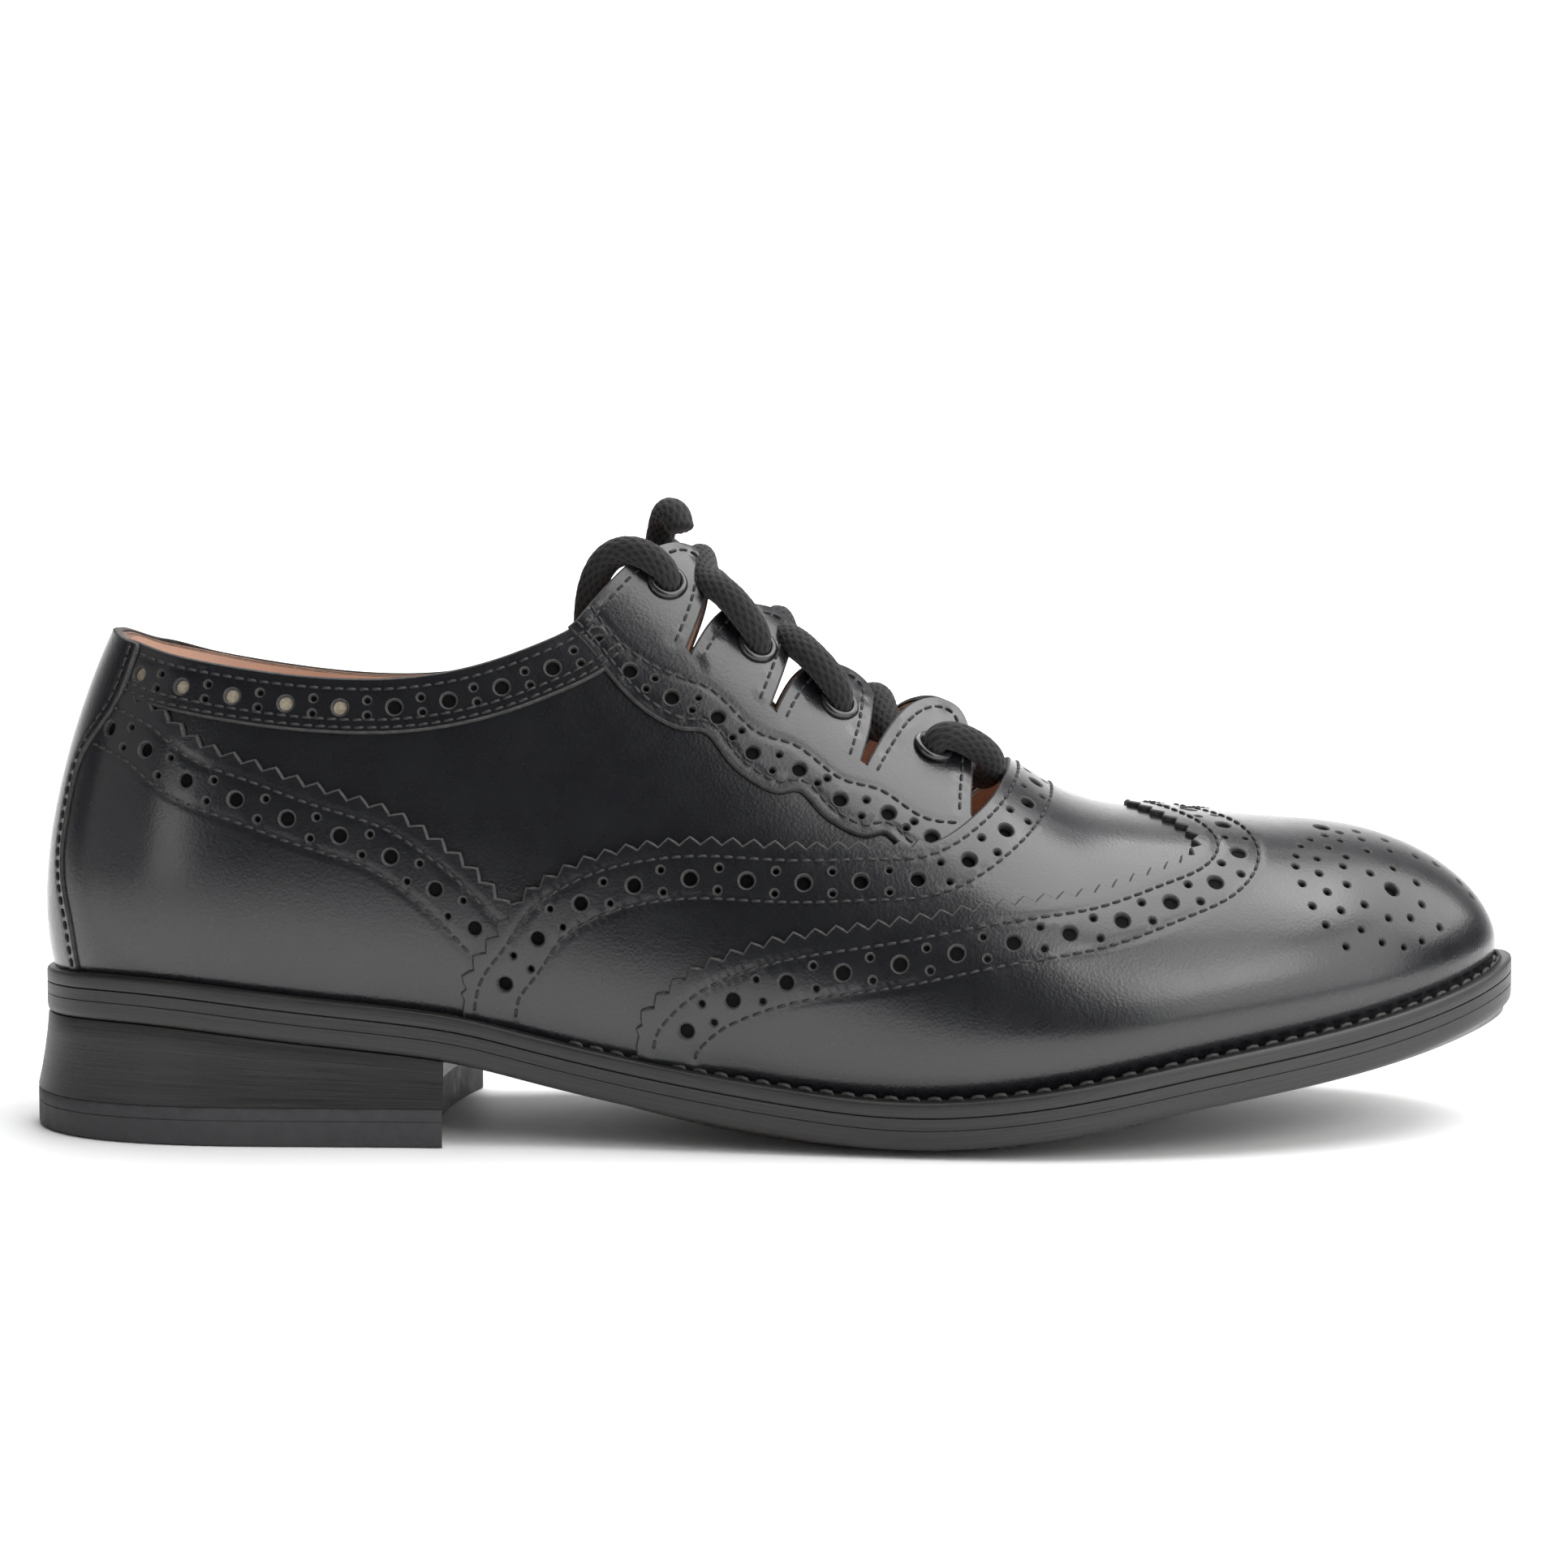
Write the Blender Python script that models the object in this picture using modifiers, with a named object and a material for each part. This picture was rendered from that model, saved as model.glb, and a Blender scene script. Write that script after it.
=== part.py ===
"""Ghillie brogue, right shoe, standing on its heel and forefoot.

Sizes are in millimetres: x runs from the back of the heel to the toe, +y is the inner side of the
foot, z is the height above the floor. Meshes are written in metres about the middle of the sole.
"""

import math

import bmesh
import bpy
import numpy as np
from mathutils import Vector

METRE = 0.001
GAP = 0.3
# The middle of the sole, which is the origin.
MIDDLE = np.array((153.18, 0.0, 0.0))
SMOOTH_ANGLE = math.radians(35)

# The last: where each section stands on the sole, and how it rises to the ridge line over the foot.
# squareness is the power of its rounded side, fullness how far the wall swells past its foot.
SECTION_COLUMNS = ("x", "outer", "inner", "ridge_x", "squareness", "fullness")
SECTIONS = (
    (5.5, 0.0, 0.0, 50.0, 1.80, 2.6),
    (14.0, -18.5, 18.5, 51.0, 1.90, 2.8),
    (32.0, -27.5, 27.0, 56.0, 2.20, 3.2),
    (58.0, -30.0, 29.0, 68.0, 2.40, 3.4),
    (88.0, -31.0, 28.5, 91.0, 2.30, 3.2),
    (120.0, -34.0, 28.5, 120.0, 2.05, 3.0),
    (150.0, -38.5, 31.0, 150.0, 1.95, 3.2),
    (180.0, -43.0, 37.5, 180.0, 1.95, 3.8),
    (206.0, -45.0, 43.5, 205.0, 2.00, 4.2),
    (228.0, -43.0, 45.0, 225.0, 2.10, 4.0),
    (252.0, -37.0, 42.0, 242.0, 2.20, 3.2),
    (276.0, -26.0, 33.5, 254.0, 2.35, 2.2),
    (292.0, -13.5, 22.5, 260.0, 2.45, 1.6),
    (300.5, 4.0, 4.0, 262.0, 2.50, 1.4),
)
SWELL_HEIGHT = 0.28

# Height of the ridge line over the foot; behind x 125 it is the top of the last, above the collar.
RIDGE_HEIGHT = (
    (50.0, 133.0), (85.0, 131.0), (110.0, 127.5), (125.0, 122.5), (138.0, 115.5), (150.0, 106.5),
    (168.0, 92.8), (183.0, 83.0), (196.0, 75.5), (206.0, 69.8), (214.0, 65.8), (224.0, 63.3),
    (241.0, 61.8), (255.0, 61.0), (268.0, 60.0), (285.0, 58.0), (301.0, 55.5),
)
RIDGE_SIDEWAYS = ((50.0, 0.0), (130.0, 1.0), (200.0, 2.5), (262.0, 4.0))

# Height of the welt's top face: heel seat, arch, ball and toe spring.
WELT_TOP = (
    (0.0, 32.2), (20.0, 32.7), (35.0, 31.9), (50.0, 30.2), (65.0, 28.5), (80.0, 26.9), (92.0, 25.1),
    (104.0, 22.3), (120.0, 18.7), (140.0, 15.0), (155.0, 12.8), (170.0, 11.2), (182.0, 10.9),
    (196.0, 11.9), (212.0, 14.2), (230.0, 17.7), (250.0, 21.2), (268.0, 24.3), (285.0, 28.0),
    (300.0, 32.2), (307.0, 34.5),
)


def spline(rows):
    """A natural cubic spline through rows of (place, value), as a function."""
    at, value = np.asarray(rows, float).T
    step = np.diff(at)
    system, right = np.eye(len(at)), np.zeros(len(at))
    for i in range(1, len(at) - 1):
        system[i, i - 1 : i + 2] = step[i - 1], 2 * (step[i - 1] + step[i]), step[i]
        right[i] = 6 * ((value[i + 1] - value[i]) / step[i] - (value[i] - value[i - 1]) / step[i - 1])
    bend = np.linalg.solve(system, right)

    def curve(place):
        place = np.asarray(place, float)
        i = np.clip(np.searchsorted(at, place) - 1, 0, len(step) - 1)
        before, after, h = place - at[i], at[i + 1] - place, step[i]
        cubic = (bend[i] * after**3 + bend[i + 1] * before**3) / (6 * h)
        left, top = value[i] / h - bend[i] * h / 6, value[i + 1] / h - bend[i + 1] * h / 6
        return cubic + left * after + top * before

    return curve


ridge_height, ridge_sideways, welt_top = spline(RIDGE_HEIGHT), spline(RIDGE_SIDEWAYS), spline(WELT_TOP)
SECTION = {name: np.array(column) for name, column in zip(SECTION_COLUMNS, zip(*SECTIONS))}


def feather_knots():
    """Place of each section along one side of the feather line, 0 at the heel and 1 at the toe."""
    half_width = (SECTION["inner"] - SECTION["outer"]) / 2
    run = np.hypot(np.diff(SECTION["x"]), np.diff(half_width))
    return np.concatenate(([0.0], np.cumsum(run))) / run.sum()


KNOT = feather_knots()


def round_the_foot(outer, inner):
    """A closed spline: places 0 to 1 run heel to toe on the outer side, 1 to 2 back on the inner."""
    place = np.concatenate((KNOT, 2 - KNOT[-2:0:-1]))
    value = np.concatenate((outer, inner[-2:0:-1]))
    return spline([(p + turn, v) for turn in (-2, 0, 2) for p, v in zip(place, value)])


def both_sides(name):
    return round_the_foot(SECTION[name], SECTION[name])


feather_x, feather_y = both_sides("x"), round_the_foot(SECTION["outer"], SECTION["inner"])
ridge_x, squareness, fullness = both_sides("ridge_x"), both_sides("squareness"), both_sides("fullness")
OUTER, INNER = -1, 1


def feather(place):
    """Points of the feather line and the way out from them in plan."""
    nudge = 1e-4
    x, y = feather_x(place), feather_y(place)
    along_x = feather_x(place + nudge) - feather_x(place - nudge)
    along_y = feather_y(place + nudge) - feather_y(place - nudge)
    length = np.hypot(along_x, along_y)
    return x, y, along_y / length, -along_x / length


def skin(k, v, side):
    """Outer face of the last: k runs heel to toe, v from the feather line up to the ridge."""
    k, v = np.broadcast_arrays(np.asarray(k, float), np.asarray(v, float))
    foot_x, foot_y, out_x, out_y = feather(k if side == OUTER else 2 - k)
    top_x = ridge_x(k)
    power = 2 / squareness(k)
    inward = 1 - np.abs(np.cos(v * math.pi / 2)) ** power
    up = np.abs(np.sin(v * math.pi / 2)) ** power
    swell_at = up / SWELL_HEIGHT
    swell = fullness(k) * swell_at * np.exp(1 - swell_at) * (1 - up**2)
    x = foot_x + (top_x - foot_x) * inward + out_x * swell
    y = foot_y + (ridge_sideways(top_x) - foot_y) * inward + out_y * swell
    base = welt_top(foot_x) + GAP
    return np.stack((x, y, base + (ridge_height(x) - base) * up), -1)


def normal(k, v, side):
    """Way out of the last; along the ridge it leans only with the ridge."""
    nudge = 1e-3
    k, v = np.broadcast_arrays(np.asarray(k, float), np.asarray(v, float))
    ahead = skin(k + nudge, v, side) - skin(k - nudge, v, side)
    upward = skin(k, np.minimum(v + nudge, 1), side) - skin(k, np.maximum(v - nudge, 0), side)
    way = -side * np.cross(ahead, upward)
    x = ridge_x(k)
    slope = (ridge_height(x + 0.1) - ridge_height(x - 0.1)) / 0.2
    over = np.stack((-slope, np.zeros_like(slope), np.ones_like(slope)), -1)
    way = np.where(v[..., None] > 0.9999, over, way)
    return way / np.linalg.norm(way, axis=-1, keepdims=True)


def halve(low, high, too_low):
    """The place between low and high where too_low turns false."""
    for _ in range(40):
        middle = (low + high) / 2
        below = too_low(middle)
        low, high = np.where(below, middle, low), np.where(below, high, middle)
    return (low + high) / 2


def tape(k, v):
    """Length along the outer side of the last from v up to the ridge."""
    share = np.linspace(0, 1, 41)
    line = skin(k[..., None], v[..., None] + (1 - v[..., None]) * share, OUTER)
    return np.linalg.norm(np.diff(line, axis=-2), axis=-1).sum(-1)


def ray(k):
    """A section's start on the ridge and its way out, as laid flat."""
    foot_x, foot_y, _, _ = feather(k)
    top_x = ridge_x(k)
    out_x, out_y = foot_x - top_x, foot_y - ridge_sideways(top_x)
    length = np.hypot(out_x, out_y)
    return top_x, out_x / length, -out_y / length


def lay_flat(k, v):
    """Flat pattern of the outer side: mm along the ridge and mm across from it."""
    k, v = np.asarray(k, float), np.asarray(v, float)
    start, out_x, out_y = ray(k)
    length = tape(k, v)
    return np.stack((start + out_x * length, out_y * length), -1)


def from_flat(points):
    """k and v of places on the flat pattern."""
    along, across = np.asarray(points, float).T

    def behind(k):
        start, out_x, out_y = ray(k)
        return out_y * (along - start) - out_x * across > 1e-9

    k = halve(np.zeros_like(along), np.ones_like(along), behind)
    length = np.hypot(along - ray(k)[0], across)
    v = halve(np.zeros_like(along), np.ones_like(along), lambda v: tape(k, v) > length)
    return np.stack((k, v), -1)


def station(x, v):
    """k of the outer side's point at x and v."""
    return halve(np.zeros_like(x), np.ones_like(x), lambda k: skin(k, v, OUTER)[..., 0] < x)


def from_side(points):
    """k and v of places on the outer side seen square on, as x and height."""
    x, height = np.asarray(points, float).T

    def below(v):
        return skin(station(x, v), v, OUTER)[..., 2] < height

    v = halve(np.zeros_like(x), np.ones_like(x), below)
    return np.stack((station(x, v), v), -1)


# Seams on the flat pattern of the outer side: mm along the ridge line, mm across from it.
VAMP_EDGE = (
    (87.4, 110.4), (91.5, 105.2), (95.5, 101.6), (100.8, 94.3), (108.4, 88.1), (118.2, 82.4),
    (131.2, 74.5), (141.4, 69.2), (160.2, 57.7), (172.9, 50.4), (183.2, 45.8), (190.6, 36.0),
    (194.9, 29.4), (197.3, 22.7), (199.9, 8.6), (200.5, 0.0),
)
CAP_EDGE = (
    (128.1, 110.5), (133.5, 101.9), (144.8, 88.9), (161.1, 74.4), (177.6, 63.9), (191.8, 55.7),
    (207.6, 47.0), (217.4, 41.0), (230.8, 33.6), (236.5, 29.5), (238.1, 24.1), (235.0, 15.3),
    (230.6, 8.0), (226.5, 0.0),
)
FACING_EDGE = (
    (112.4, 36.4), (119.1, 42.2), (125.8, 47.4), (134.7, 48.6), (141.9, 49.1), (149.1, 50.4),
    (157.8, 47.0), (166.1, 48.6), (174.8, 46.0), (182.6, 45.0),
)
# The lace tabs: their straight ends stand this far from the ridge, and the notches reach this deep.
TAB_END, NOTCH_FLOOR = 10.0, 32.0
# Along the ridge for each tab: back of its foot, back and front of its end, front of its foot.
TABS = (
    (116.2, 127.5, 138.5, 133.0), (136.5, 143.5, 155.5, 150.0),
    (153.5, 160.5, 171.5, 167.5), (171.5, 178.5, 190.5, 187.2),
)
THROAT = (
    (189.5, 34.5), (192.2, 33.4), (194.9, 29.4), (197.3, 22.7), (199.2, 15.0), (199.9, 8.6), (200.5, 0.0),
)
EYELETS = ((130.8, 19.1), (148.8, 21.0), (165.2, 21.5), (183.8, 20.0))

# Seams seen square from the side: x and height.
TOPLINE = (
    (17.0, 100.6), (22.0, 98.9), (31.6, 96.4), (40.0, 94.6), (47.8, 93.3), (64.0, 91.5),
    (78.4, 91.4), (86.3, 92.3), (95.9, 94.5), (105.4, 97.9), (113.3, 101.7),
)
COLLAR_EDGE = (
    (25.5, 86.0), (32.2, 84.9), (48.1, 82.1), (64.2, 81.2), (80.2, 81.5), (102.4, 85.2), (115.1, 91.0),
)
COLLAR_START = (29.5, 96.6)
COUNTER_EDGE = (
    (24.5, 85.2), (31.4, 83.5), (37.6, 78.6), (45.9, 75.2), (59.6, 70.4), (78.5, 64.3),
    (92.1, 54.5), (98.3, 48.3),
)
STRIP_EDGE = (
    (13.5, 36.0), (12.3, 41.9), (10.1, 56.3), (11.2, 64.5), (15.5, 78.0), (22.0, 88.0), (24.8, 98.0),
)

WALL, OVERLAY, OVERLAY_OFF, SEAM = 2.0, 1.0, 0.6, 0.6
OVERLAY_FOOT = 2.0
UPPER_ROWS, CAP_ROWS, VAMP_ROWS, SIDE_ROWS, TAB_ROWS = 9, 8, 6, 4, 3


def along_path(points, count):
    """Points spaced evenly along a broken line."""
    points = np.asarray(points, float)
    run = np.concatenate(([0.0], np.cumsum(np.linalg.norm(np.diff(points, axis=0), axis=1))))
    at = np.linspace(0, run[-1], count)
    return np.stack([np.interp(at, run, column) for column in points.T], -1)


def moved(points, distance):
    """A line on the pattern moved to its left."""
    ahead = np.gradient(points, axis=0)
    left = np.stack((-ahead[:, 1], ahead[:, 0]), -1)
    return points + distance * left / np.linalg.norm(left, axis=1, keepdims=True)


def patch(bottom, top, rows, left=None):
    """A net of points between two lines; its first column follows left if that is given."""
    share = np.linspace(0, 1, rows + 1)[None, :, None]
    net = bottom[:, None] * (1 - share) + top[:, None] * share
    if left is not None:
        fade = np.linspace(1, 0, len(bottom))[:, None, None]
        net = net + fade * (left - net[0])[None]
    return net


def flat_patch(bottom, top, rows):
    net = patch(np.asarray(bottom), np.asarray(top), rows)
    return from_flat(net.reshape(-1, 2)).reshape(net.shape)


def finish(name, data):
    """An object of the shoe with a material of its own."""
    made = bpy.data.objects.new(name, data)
    material = bpy.data.materials.new(name)
    material.use_nodes = True
    colour, roughness, metallic = LOOKS[name.split("_")[0]]
    surface = material.node_tree.nodes["Principled BSDF"]
    surface.inputs["Base Color"].default_value = (*colour, 1.0)
    surface.inputs["Roughness"].default_value = roughness
    surface.inputs["Metallic"].default_value = metallic
    data.materials.append(material)
    SHOE.objects.link(made)
    return made


def add_object(name, points, faces):
    """One closed body in metres about the middle of the sole."""
    body = bmesh.new()
    corners = [body.verts.new((np.asarray(p) - MIDDLE) * METRE) for p in points]
    for face in faces:
        body.faces.new([corners[i] for i in face])
    bmesh.ops.triangulate(body, faces=body.faces[:], quad_method="BEAUTY", ngon_method="BEAUTY")
    mesh = bpy.data.meshes.new(name)
    body.to_mesh(mesh)
    body.free()
    mesh.shade_smooth()
    mesh.set_sharp_from_angle(angle=SMOOTH_ANGLE)
    return finish(name, mesh)


def shell(name, nets, low, high):
    """A closed shell over nets of (side, k and v), from low to high above the last's face."""
    index, out, within, faces = {}, [], [], []
    for side, net in nets:
        k, v = net[..., 0], net[..., 1]
        face, way = skin(k, v, side), normal(k, v, side)
        ids = np.zeros(k.shape, int)
        for c, r in np.ndindex(k.shape):
            middle = k[c, r] < 1e-6 or k[c, r] > 1 - 1e-6 or v[c, r] > 1 - 1e-6
            key = (0 if middle else side, round(float(k[c, r]), 6), round(float(v[c, r]), 6))
            if key not in index:
                index[key] = len(out)
                out.append(face[c, r] + high * way[c, r])
                within.append(face[c, r] + low * way[c, r])
            ids[c, r] = index[key]
        for c, r in np.ndindex(k.shape[0] - 1, k.shape[1] - 1):
            around = [ids[c, r], ids[c + 1, r], ids[c + 1, r + 1], ids[c, r + 1]]
            around = [int(i) for n, i in enumerate(around) if i != around[n - 1]]
            if len(set(around)) > 2:
                faces.append(around if side == OUTER else around[::-1])
    count = len(out)
    edges = {(f[i - 1], f[i]) for f in faces for i in range(len(f))}
    rims = [(b, a, a + count, b + count) for a, b in edges if (b, a) not in edges]
    backs = [tuple(i + count for i in reversed(f)) for f in faces]
    return add_object(name, out + within, faces + backs + rims)


def foot_line(start, end, count):
    """Places a little above the feather line between two stations."""
    k = np.linspace(start, end, count)
    target = skin(k, np.zeros_like(k), OUTER)[:, 2] + OVERLAY_FOOT
    v = halve(np.zeros_like(k), np.ones_like(k), lambda v: skin(k, v, OUTER)[:, 2] < target)
    return np.stack((k, v), -1)


def flat_foot(start, end, count):
    line = foot_line(start, end, count)
    return lay_flat(line[:, 0], line[:, 1])


def foot_under(along):
    """Station of the feather line under a place along the flat pattern."""
    along = np.asarray(along, float)

    def behind(k):
        return lay_flat(k, np.zeros_like(k))[..., 0] < along

    return halve(np.zeros_like(along), np.ones_like(along), behind)


def tab_feet():
    """Line under the four tabs at the depth of the notches, heel to toe."""
    along = np.concatenate([np.linspace(tab[0], tab[3], 4) for tab in TABS])
    return np.stack((along, np.full_like(along, NOTCH_FLOOR)), -1)


def tab_nets():
    """The four tabs above the floor of the notches."""
    nets = []
    for n, (_, end_back, end_front, _) in enumerate(TABS):
        along = np.linspace(end_back, end_front, 4)
        end = np.stack((along, np.full_like(along, TAB_END)), -1)
        nets.append(flat_patch(tab_feet()[4 * n : 4 * n + 4], end, TAB_ROWS))
    return nets


def both(nets):
    return [(side, net) for net in nets for side in (OUTER, INNER)]


def build_upper():
    """The quarters and lining: one wall open at the collar, the throat and underneath."""
    rim = along_path(from_side(TOPLINE), 14)
    collar = lay_flat(rim[:, 0], rim[:, 1])
    feet = tab_feet()
    throat = along_path(THROAT, 13)
    feet_foot = foot_under(feet[:, 0])
    collar_foot = rim[:, 0] / rim[-1, 0] * (feet_foot[0] - 0.01)
    throat_foot = np.linspace(feet_foot[-1], 1, len(throat) + 1)[1:]
    foot = np.concatenate((collar_foot, feet_foot, throat_foot))
    bottom = lay_flat(foot, np.zeros_like(foot))
    net = flat_patch(bottom, np.concatenate((collar, feet, throat)), UPPER_ROWS)
    net[0, :, 0] = 0
    net[:, 0, 1] = 0
    return shell("upper", both([net] + tab_nets()), -WALL, 0.0)


def build_wings():
    """The winged toe cap and the vamp behind it, a seam's width apart; gives the vamp's edge."""
    cap_edge, vamp_edge = along_path(CAP_EDGE, 20), along_path(VAMP_EDGE, 25)
    cap_end, vamp_end = from_flat(cap_edge[:1])[0, 0], from_flat(vamp_edge[:1])[0, 0]
    cap = flat_patch(flat_foot(cap_end, 1, 20), cap_edge, CAP_ROWS)
    shell("wing_cap", both([cap]), OVERLAY_OFF, OVERLAY_OFF + OVERLAY)
    under = np.concatenate((flat_foot(vamp_end, cap_end - 0.006, 5), moved(cap_edge, -SEAM)))
    under[-1, 1] = 0
    vamp = flat_patch(under, vamp_edge, VAMP_ROWS)
    shell("vamp", both([vamp]), OVERLAY_OFF, OVERLAY_OFF + OVERLAY)
    return vamp_edge


def build_strip():
    """The strip down the back seam; gives its edge."""
    edge = along_path(from_side(STRIP_EDGE), 7)
    edge[0] = foot_line(edge[0, 0], 1, 2)[0]
    back = edge * (0, 1)
    back[-1] = from_side(TOPLINE[:1])[0]
    net = patch(back, edge, SIDE_ROWS).transpose(1, 0, 2)
    shell("back_strip", both([net]), OVERLAY_OFF, OVERLAY_OFF + OVERLAY)
    return edge


def counter_net(strip_edge, vamp_edge):
    """The counter of one side, from the back strip to the vamp's wing."""
    beside = strip_edge + (0.004, 0)
    vamp_end = from_flat(vamp_edge[:1])[0, 0]
    wing = moved(vamp_edge[:5], -SEAM)[::-1]
    wing = np.concatenate((wing, flat_foot(vamp_end - 0.005, vamp_end, 2)[:1]))
    top = np.concatenate((along_path(from_side(COUNTER_EDGE), 10), from_flat(wing)))
    bottom = foot_line(beside[0, 0], vamp_end - 0.005, len(top))
    left = along_path(beside[:-1], SIDE_ROWS + 1)
    left[-1] = top[0]
    return patch(bottom, top, SIDE_ROWS, left)


def collar_net():
    """The collar band of one side."""
    rim = from_side(TOPLINE)
    top = np.concatenate((from_side([COLLAR_START]), rim[3:-1], [rim[-1] - (0.004, 0)]))
    bottom = along_path(from_side(COLLAR_EDGE), 16)
    return patch(bottom + (0.004, 0), along_path(top, 16) - (0, 0.004), 2)


def facing_nets():
    """The facing of one side with its four tabs."""
    feet = np.concatenate(([(113.6, 35.2)], tab_feet(), THROAT[:2]))
    return [flat_patch(along_path(FACING_EDGE, len(feet)), feet, 2)] + tab_nets()


def build_overlays():
    """The panels laid over the upper, a seam's width apart."""
    vamp_edge, strip_edge = build_wings(), build_strip()
    panels = {
        "counter": [counter_net(strip_edge, vamp_edge)],
        "collar_band": [collar_net()],
        "facing": facing_nets(),
    }
    for name, nets in panels.items():
        for side, word in ((OUTER, "outer"), (INNER, "inner")):
            shell(f"{name}_{word}", [(side, net) for net in nets], OVERLAY_OFF, OVERLAY_OFF + OVERLAY)


# The sole: how far its edge stands out from the feather line, and the thickness of its layers.
SOLE_REACH = ((0.0, 3.4), (60.0, 4.0), (120.0, 4.6), (170.0, 5.6), (230.0, 6.0), (307.0, 5.8))
WELT, SOLE, GROOVE_DOWN, GROOVE = 3.0, 6.1, 2.1, 0.5
SOLE_CROWN, CROWN_FROM, CROWN_TO = 2.0, 92.0, 140.0
WELT_INSIDE, INSOLE, INSOLE_INSIDE = 7.0, 2.6, 2.7
HEEL_BREAST, BREAST_HOLLOW, HEEL_FLARE, LIFT = 88.0, 4.0, 2.0, 7.6
EDGE_COUNT = 50
sole_reach = spline(SOLE_REACH)


def edge_loop(place, reach, height):
    """A loop round the sole, reach out from the feather line, at heights set by x."""
    x, y, out_x, out_y = feather(np.asarray(place))
    out = reach(x) if callable(reach) else reach
    x, y = x + out_x * out, y + out_y * out
    return np.stack((x, y, height(x)), -1)


def whole_loop(reach, height):
    place = np.linspace(0, 2, EDGE_COUNT, endpoint=False)
    return edge_loop(place, reach, height)


def plate(name, loops, under, over, across=(0.25, 0.5, 0.75)):
    """A solid through loops from bottom to top, closed by caps whose inner points take these heights."""
    loops = [np.asarray(loop) for loop in loops]
    count = len(loops[0])
    points, faces = list(np.concatenate(loops)), []
    for n in range(len(loops) - 1):
        for i in range(count):
            j = (i + 1) % count
            faces.append((n * count + i, n * count + j, (n + 1) * count + j, (n + 1) * count + i))
    for first, height, upright in ((0, under, False), ((len(loops) - 1) * count, over, True)):
        lines = [[first]]
        for i in range(1, count // 2):
            start, end = points[first + i], points[first + count - i]
            line = [first + i]
            for share in across:
                inside = start + (end - start) * share
                points.append(np.array((inside[0], inside[1], height(inside[0]))))
                line.append(len(points) - 1)
            lines.append(line + [first + count - i])
        lines.append([first + count // 2])
        for one, two in zip(lines, lines[1:]):
            for i in range(max(len(one), len(two)) - 1):
                ring = [one[min(i, len(one) - 1)], two[min(i, len(two) - 1)]]
                ring += [two[min(i + 1, len(two) - 1)], one[min(i + 1, len(one) - 1)]]
                ring = [p for n, p in enumerate(ring) if p not in ring[:n]]
                faces.append(ring if upright else ring[::-1])
    return add_object(name, points, faces)


def sole_under(x):
    return welt_top(x) - WELT - GAP - SOLE


def sole_tread(x):
    """Underside of the sole away from its edge: crowned under the foot, flat on the floor at the ball."""
    crown = SOLE_CROWN * np.clip((x - CROWN_FROM) / (CROWN_TO - CROWN_FROM), 0, 1)
    return np.maximum(sole_under(x) - crown, 0)


def under_welt(x):
    return welt_top(x) - WELT


def sole_top(x):
    return under_welt(x) - GAP


def sole_ring(inset, height):
    """A loop round the sole's edge, stepped in by inset."""
    return whole_loop(lambda x: sole_reach(x) - inset, height)


def build_outsole():
    """The outsole, with a groove round its edge."""
    loops = [sole_ring(1.2, sole_under), sole_ring(0.0, lambda x: sole_under(x) + 0.8)]
    groove = ((GROOVE_DOWN + 0.8, 0.0), (GROOVE_DOWN + 0.4, GROOVE), (GROOVE_DOWN, 0.0), (0.0, 0.0))
    for down, inset in groove:
        loops.append(sole_ring(inset, lambda x: sole_top(x) - down))
    plate("outsole", loops, sole_tread, sole_top, (0.18, 0.5, 0.82))


def build_welt():
    """The welt: a ring whose inner edge lies under the upper."""
    ring = [whole_loop(-WELT_INSIDE, under_welt), sole_ring(0.0, under_welt)]
    ring += [sole_ring(0.0, lambda x: welt_top(x) - 0.5), sole_ring(0.6, welt_top)]
    ring.append(whole_loop(-WELT_INSIDE, welt_top))
    faces = []
    for n in range(len(ring)):
        near, far = n * EDGE_COUNT, (n + 1) % len(ring) * EDGE_COUNT
        for i in range(EDGE_COUNT):
            j = (i + 1) % EDGE_COUNT
            faces.append((near + i, near + j, far + j, far + i))
    add_object("welt", np.concatenate(ring), faces)


def insole_under(x):
    return welt_top(x) + GAP


def insole_top(x):
    return insole_under(x) + INSOLE


def build_insole():
    """The insole, with the filler inside the welt below it."""
    loops = [whole_loop(-WELT_INSIDE - GAP, under_welt), whole_loop(-WELT_INSIDE - GAP, insole_under)]
    loops += [whole_loop(-INSOLE_INSIDE, insole_under), whole_loop(-INSOLE_INSIDE, insole_top)]
    plate("insole", loops, under_welt, insole_top, (0.5,))


def heel_loop(reach, height):
    """A loop round the heel, closed by its hollow breast."""
    end = halve(np.zeros(1), np.full(1, 0.6), lambda k: feather_x(k) < HEEL_BREAST)[0]
    outer = edge_loop(np.linspace(0, end, 13), reach, height)
    inner = edge_loop(2 - np.linspace(end, 0, 13)[:-1], reach, height)
    share = np.linspace(0, 1, 7)[1:-1, None]
    breast = outer[-1] * (1 - share) + inner[0] * share
    breast[:, 0] -= BREAST_HOLLOW * 4 * (share * (1 - share))[:, 0]
    breast[:, 2] = height(breast[:, 0])
    return np.concatenate((outer, breast, inner))


def level(height):
    """A height that is the same everywhere."""
    return lambda x: np.full_like(np.asarray(x, float), height)


def heel_top(x):
    return sole_under(x) - GAP


def heel_foot(x):
    return sole_reach(x) + HEEL_FLARE


def build_heel():
    """The heel block of stacked leather and its rubber top piece."""
    block = [heel_loop(heel_foot, level(LIFT + GAP)), heel_loop(lambda x: sole_reach(x) - 0.2, heel_top)]
    plate("heel_stack", block, level(LIFT + GAP), heel_top, (0.3, 0.7))
    lift = [heel_loop(heel_foot, level(0.0)), heel_loop(heel_foot, level(LIFT))]
    plate("top_lift", lift, level(0.0), level(LIFT), (0.3, 0.7))


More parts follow.
